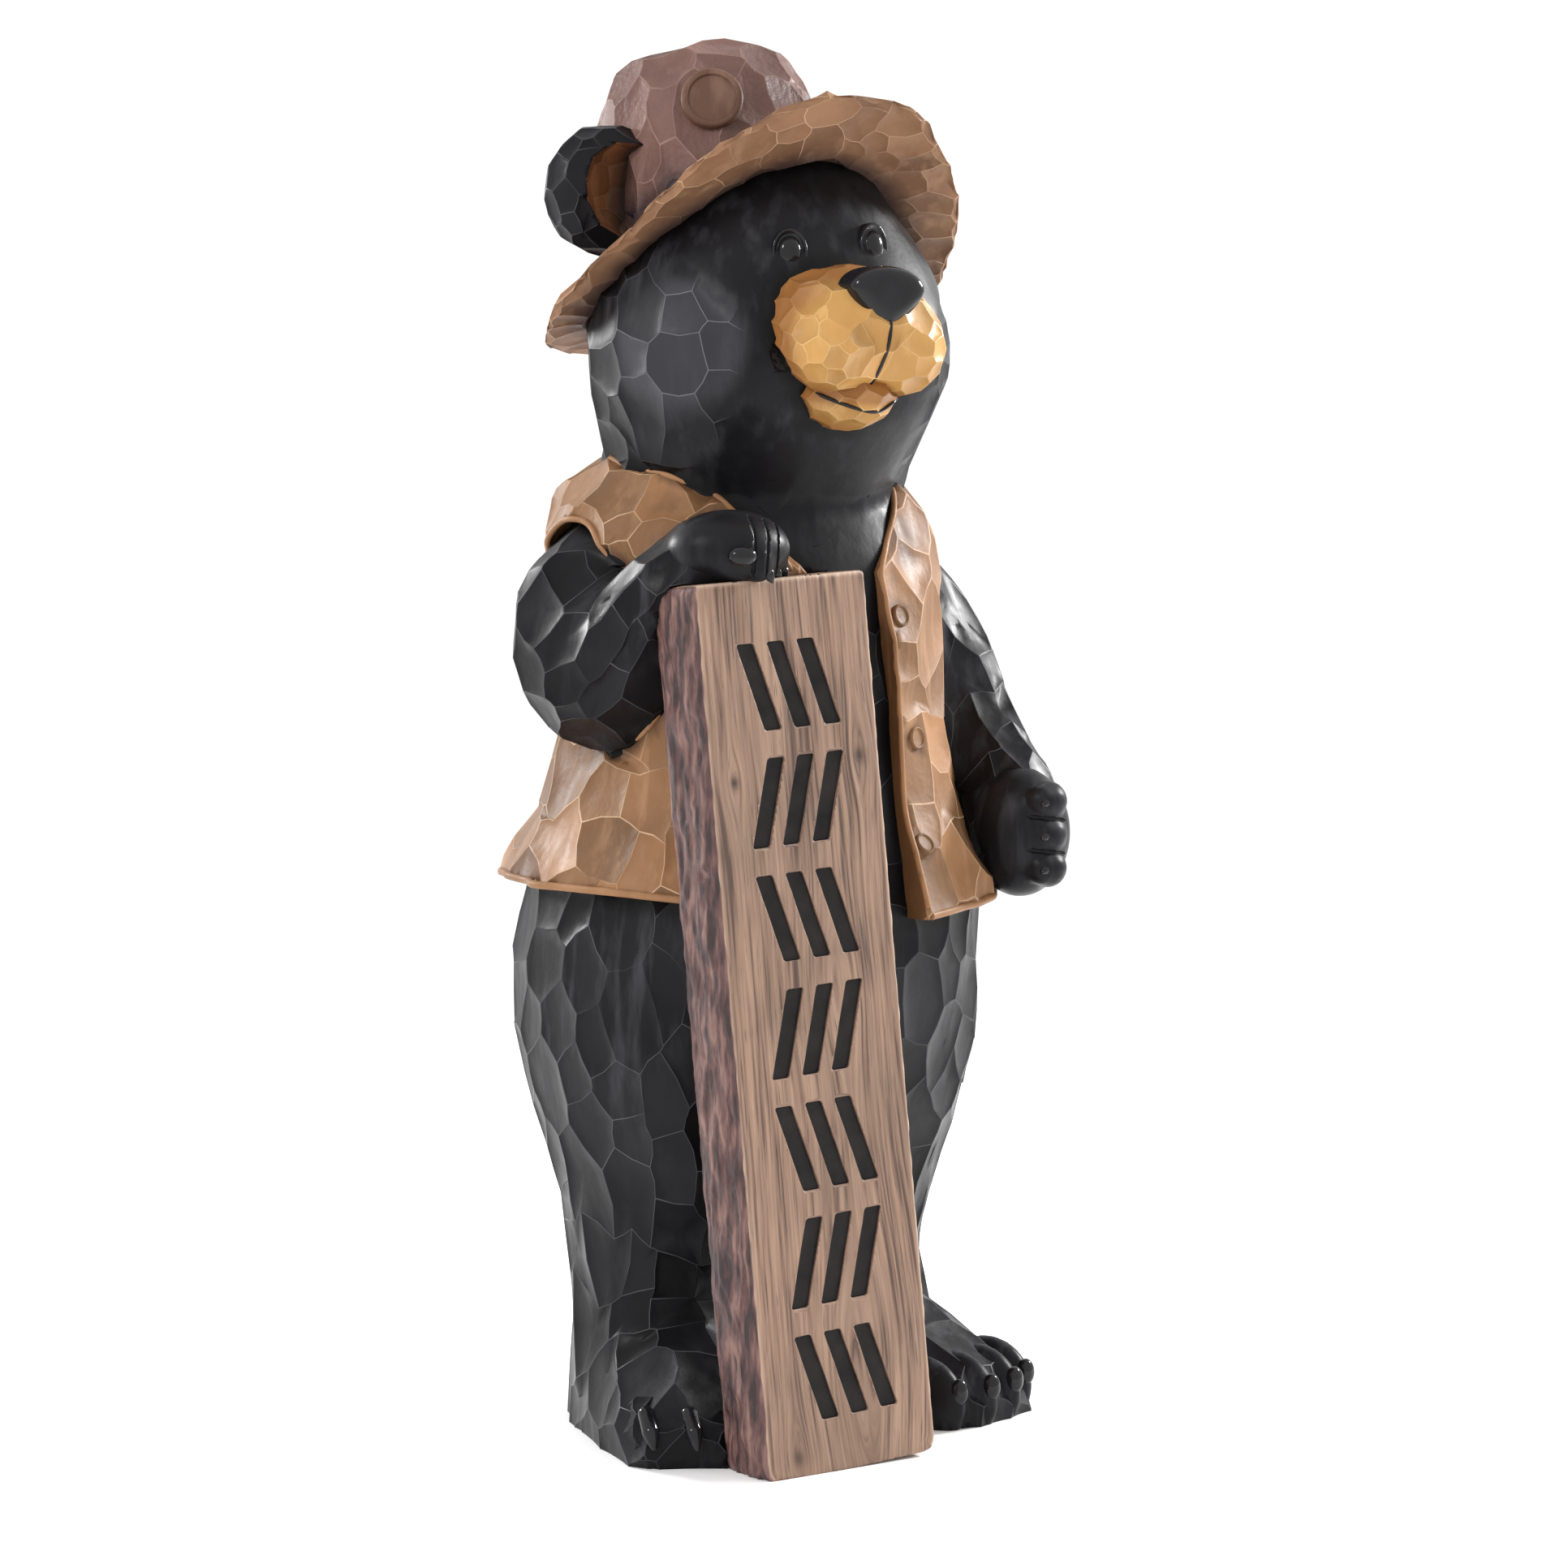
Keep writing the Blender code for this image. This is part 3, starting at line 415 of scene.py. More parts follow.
# %% [markdown]
# ## Finding, calming and cutting a skin
#
# Details have to sit on the carved surface, which no drawing gives exactly. So a ray is sent at a body, as a
# carver feels for the wood with a pointer, and it tells where the skin is and which way it faces. Where the
# real bear was sanded, the facets are pulled back to the skin that they were cut from. Cuts are made with
# boolean tools: a tool body takes its own shape out of the piece. The solver may lose a piece whose facets
# touch each other, so each cut is looked at and made another way if that has happened.

# %% Rays that find a body's skin
trees = {}


def tree_of(obj):
    """A search tree of a mesh's faces."""
    mesh = obj.data
    return BVHTree.FromPolygons([v.co for v in mesh.vertices], [face.vertices for face in mesh.polygons])


def facing(obj, start, way, frame=BODY):
    """Where a line meets a body, and the way its surface faces there."""
    if obj.name not in trees:
        trees[obj.name] = tree_of(obj)
    spot, normal, _, _ = trees[obj.name].ray_cast(
        frame @ Vector(start), (frame.to_3x3() @ Vector(way)).normalized()
    )
    return spot, normal


def eased(low, high, value):
    """A soft step from 0 to 1 between two limits."""
    share = min(1.0, max(0.0, (value - low) / (high - low)))
    return share * share * (3 - 2 * share)


# %% Take a gouged skin back to the smooth one
LONGEST, DOUBLE = 4.5, 0.4


def calm(obj, smooth, weight):
    """Smooths a gouged skin where a weight between 0 and 1 says so, after dividing it finely there."""
    bm = bmesh.new()
    bm.from_mesh(obj.data)
    for _ in range(2):
        inside = {v for v in bm.verts if weight(v.co) > 0.02}
        long = [e for e in bm.edges if inside.issuperset(e.verts) and e.calc_length() > LONGEST * MM]
        bmesh.ops.subdivide_edges(bm, edges=long, cuts=1, use_grid_fill=True)
    ridge, tone = bm.verts.layers.float["ridge"], bm.faces.layers.float["tone"]
    for face in bm.faces:
        face[tone] += (0.5 - face[tone]) * weight(face.calc_center_median())
    for vert in bm.verts:
        amount = weight(vert.co)
        if amount > 0:
            vert.co = vert.co.lerp(smooth.find_nearest(vert.co)[0], amount)
            vert[ridge] *= 1 - amount
    bmesh.ops.remove_doubles(bm, verts=bm.verts, dist=DOUBLE * MM)
    relax(bm, [v for v in bm.verts if weight(v.co) > 0.3], 0.5, 4)
    bmesh.ops.recalc_face_normals(bm, faces=bm.faces)
    bm.to_mesh(obj.data)
    bm.free()
    return obj


# %% Cuts
SOLVERS = (
    {"solver": "EXACT"},
    {"solver": "EXACT", "use_self": True, "use_hole_tolerant": True},
    {"solver": "FAST"},
)


def cut(obj, tool):
    """Cuts one body with another and throws the tool away. A cut that loses the body is made another way."""
    whole, name = obj.data.copy(), obj.data.name
    for way in SOLVERS:
        apply(obj, "BOOLEAN", operation="DIFFERENCE", object=tool, **way)
        if len(obj.data.polygons) > len(whole.polygons) / 4:
            break
        print(obj.name, "was lost in a cut and is cut another way")
        obj.data = whole.copy()
    obj.data.name = name
    bpy.data.objects.remove(tool, do_unlink=True)
    return obj


def prism(outline, low, high, frame=BODY):
    """A block with an outline across and up, from one depth to another."""
    bm = bmesh.new()
    near = [bm.verts.new(frame @ Vector((x, low, z))) for x, z in outline]
    far = [bm.verts.new(frame @ Vector((x, high, z))) for x, z in outline]
    bm.faces.new(near)
    bm.faces.new(list(reversed(far)))
    for k in range(len(near)):
        nxt = (k + 1) % len(near)
        bm.faces.new((near[k], far[k], far[nxt], near[nxt]))
    bmesh.ops.recalc_face_normals(bm, faces=bm.faces)
    return placed(bm, "prism")


# %% Flat soles
SOLE = 0.0002


def sole(obj):
    """Cuts a body off level at the ground, with a flat sole."""
    with editing(obj):
        bpy.ops.mesh.bisect(plane_co=(0, 0, SOLE), plane_no=(0, 0, 1), use_fill=True, clear_inner=True)
    return obj


# %% [markdown]
# ## The board's place
#
# The board leans back against the chest and a little sideways. Its own frame has its foot at the origin, X
# across its face, Y into its thickness and Z up its length, all in millimetres. The coat, the waistcoat and
# the paw all touch it, so it is needed before they are made.

# %% The board's frame
BOARD_WIDTH, BOARD_THICK, BOARD_LENGTH, GAP = 130.0, 47.0, 563.0, 0.3
BOARD = (
    BODY
    @ Matrix.Translation((-44, -187, 0))
    @ Matrix.Rotation(math.radians(-3), 4, "Y")
    @ Matrix.Rotation(math.radians(-4), 4, "X")
)
TOP = BODY.inverted() @ BOARD @ Vector((-0.18 * BOARD_WIDTH, 0.5 * BOARD_THICK, BOARD_LENGTH))


def board_block():
    """A block a hair larger than the board, which cuts its bed out of what it leans on."""
    half, top = BOARD_WIDTH / 2, BOARD_LENGTH + GAP
    return prism([(-half, -20), (half, -20), (half, top), (-half, top)], -GAP, BOARD_THICK + GAP, BOARD)


# %% [markdown]
# ## The black coat
#
# Trunk, legs, feet, arms, hands, head and tail are lumps of their own until they are melted. The legs stand
# a little apart, and the feet turn out. The head is widest at the cheeks.

# %% Sections of the trunk, legs, feet and head
TRUNK = (
    (200, 136, 112, 2), (235, 151, 128, 2), (290, 156, 142, 0), (330, 153, 142, -2),
    (370, 144, 134, -5), (410, 126, 121, -5), (450, 116, 113, -8), (500, 117, 111, -9),
    (540, 121, 106, -6), (575, 128, 99, -3), (595, 124, 92, 0), (612, 103, 86, 0),
    (630, 78, 76, -10), (650, 74, 68, -12),
)
LEG = (
    (-32, 60, 66, 69, 4), (40, 57, 64, 69, 4), (80, 55, 63, 69, 2), (120, 57, 67, 70, -4),
    (160, 61, 78, 72, -8), (200, 69, 93, 76, -8), (240, 76, 110, 77, -4), (285, 76, 120, 77, 0),
)
FOOT = (
    (-50, 38, 60), (-32, 52, 92), (15, 57, 99), (55, 61, 80), (90, 63, 61), (118, 60, 50),
    (138, 54, 40), (147, 46, 28),
)
SKULL = (
    (590, 80, 78, 2), (612, 84, 82, -14), (636, 101, 95, -17), (662, 114, 106, -26),
    (694, 123, 114, -29), (725, 121, 110, -28), (760, 108, 100, -21), (795, 84, 90, -14),
    (822, 66, 78, -6), (845, 48, 54, 0), (856, 26, 28, 2),
)


def foot_frame(s):
    """A foot's frame: its -Y points forwards and out, from under the ankle."""
    return BODY @ Matrix.Translation((s * 68, 0, 0)) @ Matrix.Rotation(math.radians(19 * s), 4, "Z")


# %% Arms and paws
RIGHT_PAW = (TOP.x, TOP.y, TOP.z + 20)
RIGHT_ARM = (
    (-114, 5, 558, 38), (-136, -3, 534, 46), (-140, -28, 490, 42), (-132, -64, 515, 35),
    (TOP.x - 26, TOP.y + 16, TOP.z + 9, 29), (TOP.x - 4, TOP.y + 3, TOP.z + 18, 26),
)
LEFT_PAW = (146, -113, 387)
LEFT_ARM = (
    (112, 0, 557, 40), (137, -8, 518, 44), (151, -34, 466, 40), (153, -78, 424, 33),
    (147, -104, 398, 32),
)
TAIL, TAIL_SIZE = (0, 138, 300), (38, 34, 36)

# %% The brim's measures, which the head under it needs too
MIDDLE, ROOT, EDGE, THICK, LEVEL = (3, -5), 68, 144, 11, 760


def wave(mean, once, twice, aslant, sideways, angle):
    """A height that swings once and twice round the head, and more on one side than on the other."""
    even = once * math.cos(angle) + twice * math.cos(2 * angle)
    return mean + even + aslant * math.sin(2 * angle) + sideways * math.sin(angle)


def brim_height(angle, reach):
    """The brim's height at an angle from the front, between its root (0) and its edge (1)."""
    root = wave(LEVEL, 54, 11, 0, 0, angle)
    edge = wave(761, 82, 22, -5, -6, angle)
    return root + (edge - root) * max(reach, 0.0) ** 1.25


# %% The room that the hat needs
def hat_room():
    """The room above the middle of the brim, which belongs to the hat."""
    corners = 72
    bm = bmesh.new()
    rings = []
    for radius in (1, 30, ROOT, 90, 115, 150, 200):
        ring = []
        for k in range(corners):
            angle = 2 * math.pi * k / corners
            height = brim_height(angle, (radius - ROOT) / (EDGE - ROOT))
            height = LEVEL + (height - LEVEL) * min(1.0, radius / ROOT)
            place = (MIDDLE[0] + radius * math.sin(angle), MIDDLE[1] - radius * math.cos(angle), height)
            ring.append(bm.verts.new(BODY @ Vector(place)))
        rings.append(ring)
    rings.append([bm.verts.new(v.co + Vector((0, 0, 0.3))) for v in rings[-1]])
    for low, high in zip(rings, rings[1:]):
        for k in range(corners):
            nxt = (k + 1) % corners
            bm.faces.new((low[k], low[nxt], high[nxt], high[k]))
    bm.faces.new(rings[0])
    bm.faces.new(rings[-1])
    bmesh.ops.recalc_face_normals(bm, faces=bm.faces)
    return placed(bm, "hat_room")


# %% Make the coat
UPRIGHT = Matrix.Rotation(math.radians(90), 4, "X")


def skull(grow=0.0, top=1000):
    """The head, or a fatter copy of its lower part."""
    rows = [(z - NECK.z, a + grow, b + grow, 0, y - NECK.y) for z, a, b, y in SKULL if z < top]
    return stack(rows, HEAD)


lumps = [stack([(z, a, b, 0, y) for z, a, b, y in TRUNK]), skull()]
for s in (-1, 1):
    lumps.append(stack([(z, a, b, s * x, y) for z, a, b, x, y in LEG]))
    rows = [(f, a, h, 0, 0) for f, a, h in FOOT]
    lumps.append(stack(rows, foot_frame(s) @ UPRIGHT, 32, lambda c, s: squarish(c, s, 2.6)))
lumps += limb(RIGHT_ARM) + limb(LEFT_ARM)
lumps.append(ball(RIGHT_PAW, (42, 33, 24), turn=-0.1))
lumps.append(ball(LEFT_PAW, (35, 38, 46)))
lumps.append(ball(TAIL, TAIL_SIZE))
coat = melt("coat", lumps)
smooth_coat = tree_of(coat)
gouge(coat, 760, 11, tilt=0.06, scoop=1.5, bevel=0.9, sway=0.09, stretch=1.5)
to_head = HEAD.inverted()


def calm_face(place):
    """The face, the throat and the forehead are sanded smooth. The cheeks keep their facets."""
    x, y, z = to_head @ place
    throat = 1 - eased(-112, -78, z)
    half = 60 + 32 * eased(0, 50, z) + 42 * throat
    low = eased(-190, -150, z)
    front = 1 - eased(-45 + 60 * throat, -5 + 60 * throat, y)
    return 0.94 * (1 - eased(half, half + 20, abs(x - 2))) * front * low


def pale_cheek(place):
    """The facets of the right cheek are paler."""
    x, y, z = to_head @ place
    away = math.hypot((x + 96) / 40, (y + 55) / 62, (z + 10) / 44)
    return 1 - eased(0.75, 1.1, away)


calm(coat, smooth_coat, calm_face)
cut(coat, hat_room())
cut(coat, board_block())
sole(coat)
note(coat, "pale", "POINT", [pale_cheek(v.co) for v in coat.data.vertices])

# %% [markdown]
# ## The waistcoat
#
# It is carved in the same wood, a cloth's thickness proud of the trunk, so it is a second, slightly larger
# stack. The hem flares, the front is cut open, and the hem is cut off aslant. More, smaller and rougher
# facets make it look like creased leather.

# %% Make the waistcoat
CLOTH = 9.0
HEM_FLARE = ((325, 171, 161, -3), (356, 170, 159, -2), (378, 154, 147, -4), (405, 138, 132, -5))
SHOULDER = (
    (575, 141, 112, 4), (594, 142, 106, 9), (611, 128, 101, 11), (626, 111, 95, 10), (638, 92, 86, 8),
)
OPENING = (
    (-30, 300), (33, 300), (36, 470), (31, 560), (66, 606), (84, 670), (-84, 670), (-66, 606),
    (-24, 560), (-32, 470),
)
HEM_CUT = ((-260, 200), (260, 200), (260, 350), (30, 339), (-260, 371))
waist = [(z, a + CLOTH, b + CLOTH, y) for z, a, b, y in TRUNK if 420 < z < 560]
rows = [(z, a, b, 0, y) for z, a, b, y in (*HEM_FLARE, *waist, *SHOULDER)]
vest = melt("waistcoat", [stack(rows)], 5.0, 2)
gouge(vest, 300, 23, rough=0.9, tilt=0.12, scoop=2.0, bevel=1.2, sway=0.14, stretch=1.4)
cut(vest, prism(OPENING, -260, -12))
cut(vest, prism(HEM_CUT, -260, 260))
cut(vest, board_block())

# %% [markdown]
# ## Edges and buttons
#
# A carver marks the rolled edges of the cloth with a thin bead. The neck and the armholes are cut with a
# head and arms a little fatter than the real ones, and the loop where such a cut leaves the skin is the
# route of the bead. The hem and the front edges are found by rays: each ray says where the skin is and
# which way it faces.

# %% Armholes and the loops that they leave
def rim(obj):
    """The loops along which a cut left the marked skin, each as places in order."""
    bm = bmesh.new()
    bm.from_mesh(obj.data)
    skin = bm.faces.layers.float["skin"]
    sides = {e: [f[skin] > 0.5 for f in e.link_faces] for e in bm.edges}
    edges = {e for e, marks in sides.items() if len(marks) == 2 and marks[0] != marks[1]}
    loops = []
    while edges:
        edge = min(edges, key=lambda e: e.index)
        edges.discard(edge)
        start, end = edge.verts
        loop = [start.co.copy(), end.co.copy()]
        while end is not start:
            edge = next((e for e in end.link_edges if e in edges), None)
            if edge is None:
                break
            edges.discard(edge)
            end = edge.other_vert(end)
            loop.append(end.co.copy())
        loops.append(loop)
    bm.free()
    return loops


def evened(spots, step, passes=3):
    """The same route with its places a step apart, and a little smoother."""
    if len(spots) < 2:
        return list(spots)
    lengths = [0.0]
    for a, b in zip(spots, spots[1:]):
        lengths.append(lengths[-1] + (b - a).length)
    count = max(2, round(lengths[-1] / (step * MM)))
    made, k = [], 0
    for i in range(count + 1):
        want = lengths[-1] * i / count
        while k < len(spots) - 2 and lengths[k + 1] < want:
            k += 1
        share = (want - lengths[k]) / max(lengths[k + 1] - lengths[k], 1e-9)
        made.append(spots[k].lerp(spots[k + 1], min(share, 1.0)))
    for _ in range(passes):
        made[1:-1] = [(a + b * 2 + c) / 4 for a, b, c in zip(made, made[1:], made[2:])]
    return made


def bead(name, spots, radius, taper=1.0):
    """A rounded bead along places, thinner at its ends."""
    radii = [taper, *[1.0] * (len(spots) - 2), taper]
    made = named(thick_curve(name, spots, radii, radius, 3), name)
    return sanded(made, 0.9)


def mark_skin(obj):
    """Marks every face as skin, so that faces which a later cut makes can be told apart."""
    note(obj, "skin", "FACE", [1.0] * len(obj.data.polygons))


mark_skin(vest)
NECK_ROOM, ARM_ROOM, BEAD = 1.5, 3, 2.1
cut(vest, skull(NECK_ROOM, 740))
for arm in (RIGHT_ARM, LEFT_ARM):
    fatter = [(x, y, z, radius + ARM_ROOM) for x, y, z, radius in arm[:4]]
    cut(vest, melt("armhole", limb(fatter), 4.0, 2))
edges = [evened(loop, 4) for loop in rim(vest) if len(loop) > 30]
trims = [bead(f"rolled_edge_{k + 1}", spots, BEAD) for k, spots in enumerate(edges)]
print("rolled edges", [len(spots) for spots in edges])

# %% Discs
def disc(name, spot, normal, profile, sides=32):
    """A turned disc that looks along a normal: a stack of rings of (height, radius)."""
    turn = Vector((0, 0, 1)).rotation_difference(normal).to_matrix().to_4x4()
    place = Matrix.Translation(spot) @ turn @ Matrix.Scale(MM, 4)
    rows = [(z, radius, radius, 0, 0) for z, radius in profile]
    made = only(named(stack(rows, place, sides, lambda c, s: (c, s)), name))
    bpy.ops.object.shade_smooth_by_angle(angle=math.radians(40))
    return made


# %% The hem, the front edges and the seams
def along_line(points, x):
    """The height of a line of (across, up) points at a place across."""
    for (x0, z0), (x1, z1) in zip(points, points[1:]):
        if x0 <= x <= x1:
            return z0 + (z1 - z0) * (x - x0) / (x1 - x0)
    return points[-1][1]


def laid(obj, points, lift, frame=BODY):
    """A route of (across, up) points laid on the front of a body."""
    flat = [Vector((x, 0, z)) * MM for x, z in points]
    spots = []
    for place in evened(flat, 3, 1):
        spot, normal = facing(obj, place / MM + Vector((0, FAR, 0)), (0, 1, 0), frame)
        if spot:
            spots.append(spot + normal * lift * MM)
    return evened(spots, 4)


HEM_START, HEM_SWEEP, HEM_PLACES, HEM_LIFT = 14, 330, 180, 2.4


def hem_route():
    """Places round the bottom of the waistcoat, from one front edge round the back to the other."""
    line = sorted(HEM_CUT[2:])
    spots = []
    for k in range(HEM_PLACES):
        angle = math.radians(HEM_START + k * HEM_SWEEP / (HEM_PLACES - 1))
        out = Vector((math.sin(angle), -math.cos(angle), 0))
        height = 356.0
        for _ in range(3):
            spot, _ = facing(vest, out * -FAR + Vector((0, -3, height)), -out)
            if spot:
                height = along_line(line, (BODY.inverted() @ spot).x) + HEM_LIFT
        if spot:
            spots.append(spot)
    return evened(spots, 4)


trims.append(bead("hem_roll", hem_route(), 2.6))
FRONT_EDGE = ((35.5, 347), (38, 470), (33, 560), (68, 606), (80, 640))
for side, s in (("left", 1), ("right", -1)):
    route = laid(vest, [(s * x, z) for x, z in FRONT_EDGE], 0.0)
    trims.append(bead(f"front_edge_{side}", route, 2.0))

# %% Buttons
BUTTON = (
    (-4, 7.4), (1.4, 7.4), (2.2, 7.1), (2.6, 6.4), (2.4, 5.8), (1.7, 5.3), (1.5, 3.5), (1.4, 1.0),
)
BUTTON_PLACES = ((46, 532), (54, 453), (46, 386))
buttons = []
for k, (across, height) in enumerate(BUTTON_PLACES):
    spot, normal = facing(vest, (across, FAR, height), (0, 1, 0))
    buttons.append(disc(f"button_{k + 1}", spot, normal, BUTTON))
print("trims", len(trims), "and buttons", len(buttons))

# %% [markdown]
# ## The hat
#
# The brim is turned like a record: a thin strip spun once round, then each point is lifted by a wave, high
# in front and low behind. The crown leans back and has a dark band and a plain disc.

# %% The brim
def spun_strip(name):
    """A flat ring of rectangular section, spun round the head's axis."""
    bpy.ops.mesh.primitive_plane_add(size=1)
    strip = named(bpy.context.object, name)
    for v in strip.data.vertices:
        v.co = (ROOT + (EDGE - ROOT) * (v.co.x + 0.5), 0, THICK * v.co.y)
    with editing(strip):
        bpy.ops.mesh.subdivide(number_cuts=9)
        bpy.ops.mesh.spin(steps=144, angle=2 * math.pi, center=(0, 0, 0), axis=(0, 0, 1))
        bpy.ops.mesh.select_all(action="SELECT")
        bpy.ops.mesh.remove_doubles(threshold=0.01)
        bpy.ops.mesh.normals_make_consistent(inside=False)
    return strip


brim = spun_strip("hat_brim")
for v in brim.data.vertices:
    radius = math.hypot(v.co.x, v.co.y)
    reach = (radius - ROOT) / (EDGE - ROOT)
    angle = math.atan2(v.co.x, -v.co.y)
    lift = brim_height(angle, reach) + v.co.z * (1 - 0.35 * reach)
    v.co = (v.co.x + MIDDLE[0], v.co.y + MIDDLE[1], lift)
brim.data.transform(BODY)
melt("hat_brim", [brim], 3.0, 2)
gouge(brim, 230, 31, rough=0.35, tilt=0.05, scoop=1.6, bevel=1.0, sway=0.14)

# %% The crown, its band and its disc
CROWN_FOOT, CROWN_TOP = Vector((-6, 8, 758)), Vector((-4, 53, 897))
AXIS = CROWN_TOP - CROWN_FOOT
LEAN = Vector((0, 0, 1)).rotation_difference(AXIS).to_matrix().to_4x4()
CROWN = BODY @ Matrix.Translation(CROWN_FOOT) @ LEAN
CROWN_OVAL, SHOULDER_AT, SHOULDER_IN, CROWN_STEPS = 0.96, 0.86, 20, 8
BAND_FOOT, BAND_TOP = 84, 0.32
DISC_TURN, DISC_AT, DISC_IN = -30, 0.61, 0.99


def crown_size(share):
    """The crown's radius at a share of its height, before its top is rounded."""
    return 86 - 18 * share


def crown_sections():
    """The crown's sections along its axis."""
    rows = []
    for k in range(CROWN_STEPS + 1):
        share = k / CROWN_STEPS
        size = crown_size(share)
        if share > SHOULDER_AT:
            size -= SHOULDER_IN * ((share - SHOULDER_AT) / 0.14) ** 2
        rows.append((share * AXIS.length, size, size * CROWN_OVAL, 0, 0))
    return rows


crown = melt("hat_crown", [stack(crown_sections(), CROWN)], 4.5, 2)
gouge(crown, 90, 37, rough=0.4, tilt=0.06, scoop=2.0, bevel=1.4, sway=0.16, stretch=2.0)


def hat_band():
    """The skin stretched from a ring on the brim to a ring round the crown, like a wide ribbon."""
    bm = bmesh.new()
    for k in range(96):
        angle = 2 * math.pi * k / 96
        sideways, forwards = math.sin(angle), -math.cos(angle)
        height = brim_height(angle, (BAND_FOOT - ROOT) / (EDGE - ROOT))
        x, y = MIDDLE[0] + BAND_FOOT * sideways, MIDDLE[1] + BAND_FOOT * forwards
        foot = Vector((x, y, height + 3))
        size = crown_size(BAND_TOP) + 3
        top = Vector((size * sideways, size * CROWN_OVAL * forwards, BAND_TOP * AXIS.length))
        bm.verts.new(BODY @ foot)
        bm.verts.new(CROWN @ top)
    bmesh.ops.convex_hull(bm, input=bm.verts)
    loose = [v for v in bm.verts if not v.link_faces]
    bmesh.ops.delete(bm, geom=loose, context="VERTS")
    return placed(bm, "hat_band")


band = gouge(melt("hat_band", [hat_band()], 4.0, 1), 90, 39, rough=0.3, scoop=1.0, stretch=1.4)
turn = CROWN @ Matrix.Rotation(math.radians(DISC_TURN), 4, "Z")
spot = turn @ Vector((0, -crown_size(DISC_AT) * DISC_IN, DISC_AT * AXIS.length))
outward = (turn.to_3x3() @ Vector((0, -1, 0))).normalized()
MEDALLION = (
    (-8, 20), (3.0, 20), (4.2, 19.2), (4.7, 17.6), (4.2, 16.0), (2.7, 15.2), (2.4, 6.0), (2.6, 1.0),
)
medallion = disc("hat_medallion", spot, outward, MEDALLION, 48)

# %% [markdown]
# ## The face
#
# The muzzle is two round lobes and a bridge, gouged in small dimples, with a jaw under it. The nose is a
# rounded diamond, the eyes are domes in a raised rim, and the ears are hollowed in front.

# %% Muzzle and jaw
LOBES = (
    ((0, -100, 10), (56, 58, 38)),
    ((-24, -124, -5), (33, 36, 34)),
    ((24, -124, -5), (33, 36, 34)),
    ((0, -108, 27), (29, 42, 20)),
)
muzzle = melt("muzzle", [ball(place, size, HEAD) for place, size in LOBES], 3.0, 3)
gouge(muzzle, 120, 41, rough=0.3, tilt=0.05, scoop=2.0, bevel=0.9, sway=0.1)
jaw = melt("jaw", [ball((0, -101, -35), (36, 43, 25), HEAD)], 3.0, 1)
gouge(jaw, 44, 43, rough=0.3, scoop=1.2)

# %% Painted lines on the muzzle
PHILTRUM = ((1, 9), (0, -12), (-1, -26), (-2, -37))
SMILE = ((-29, -36), (-20, -41), (-8, -45), (4, -47), (12, -45), (20, -39), (28, -36))
face_lines = [
    bead("philtrum", laid(muzzle, PHILTRUM, 0.3, HEAD), 1.2, 0.8),
    bead("smile", laid(jaw, SMILE, 0.5, HEAD), 1.2, 0.3),
]

# %% The corner of the mouth is a dark pit in the cheek
spot, _ = facing(coat, (27, FAR, 700), (0, 1, 0), ASIDE)
if spot:
    cut(coat, ball(ASIDE.inverted() @ spot, (8, 7, 11), ASIDE, detail=5))

# %% Nose
def diamond(c, s):
    """A rounded diamond, flatter above its corners and pointed below."""
    power, high = (2.0, 14 / 26) if s > 0 else (1.35, 25 / 26)
    reach = (abs(c) ** power + abs(s) ** power) ** (-1 / power)
    return reach * c, reach * s * high


NOSE = HEAD @ Matrix.Translation((1, -143, 30)) @ UPRIGHT
NOSE_PROFILE = (
    (-12, 26), (4, 26), (6.5, 25.7), (8.5, 24.8), (10, 23.4), (11.2, 21.6), (12.4, 18.8), (13.4, 14),
    (13.9, 7),
)
nose = stack([(z, size, size, 0, 0) for z, size in NOSE_PROFILE], NOSE, 60, diamond)
only(named(nose, "nose"))
bpy.ops.object.shade_smooth_by_angle(angle=math.radians(30))

# %% Ears
ears = []
for side, s in SIDES:
    ear = melt(f"ear_{side}", [ball((s * 101, 42, 91), (48, 27, 47), HEAD)], 4.0, 1)
    gouge(ear, 60, 51 + s, rough=0.4, scoop=1.0)
    mark_skin(ear)
    bowl = ball((s * 94, 19, 91), (36, 24, 36), HEAD, detail=5)
    cut(ear, gouge(bowl, 46, 57 + s, rough=0.2, scoop=-0.6))
    for face, item in zip(ear.data.polygons, ear.data.attributes["skin"].data):
        face.material_index = 0 if item.value > 0.5 else 1
    ears.append(ear)

# %% Eyes
EYE = (
    (-6, 1.0), (0, 1.0), (1.2, 0.99), (1.8, 0.96), (2.0, 0.92), (1.8, 0.87), (1.1, 0.82), (0.4, 0.76),
    (0.2, 0.70), (0.5, 0.66), (1.6, 0.63), (2.8, 0.56), (3.9, 0.45), (4.7, 0.31), (5.1, 0.16),
    (5.2, 0.05),
)
EYE_WIDE, EYE_TALL, EYE_SINK = 11.75, 15, 0.0012
eyes = []
for side, s in SIDES:
    low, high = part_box(f"eye_{side}")
    aside = Matrix.Rotation(s * math.radians(14), 4, "Z")
    look = HEAD @ aside @ Matrix.Rotation(math.radians(-6), 4, "X") @ UPRIGHT
    turn = look.to_3x3().normalized()
    start = BODY.inverted() @ ((low + high) / 2 + turn.col[2] * 0.1)
    spot, _ = facing(coat, start, -turn.col[2])
    spot = spot or (low + high) / 2
    place = Matrix.Translation(spot - turn.col[2] * EYE_SINK) @ turn.to_4x4() @ Matrix.Scale(MM, 4)
    rows = [(z, EYE_WIDE * share, EYE_TALL * share, 0, 0) for z, share in EYE]
    eyes.append(shaded(named(stack(rows, place, 48, lambda c, s: (c, s)), f"eye_dome_{side}")))

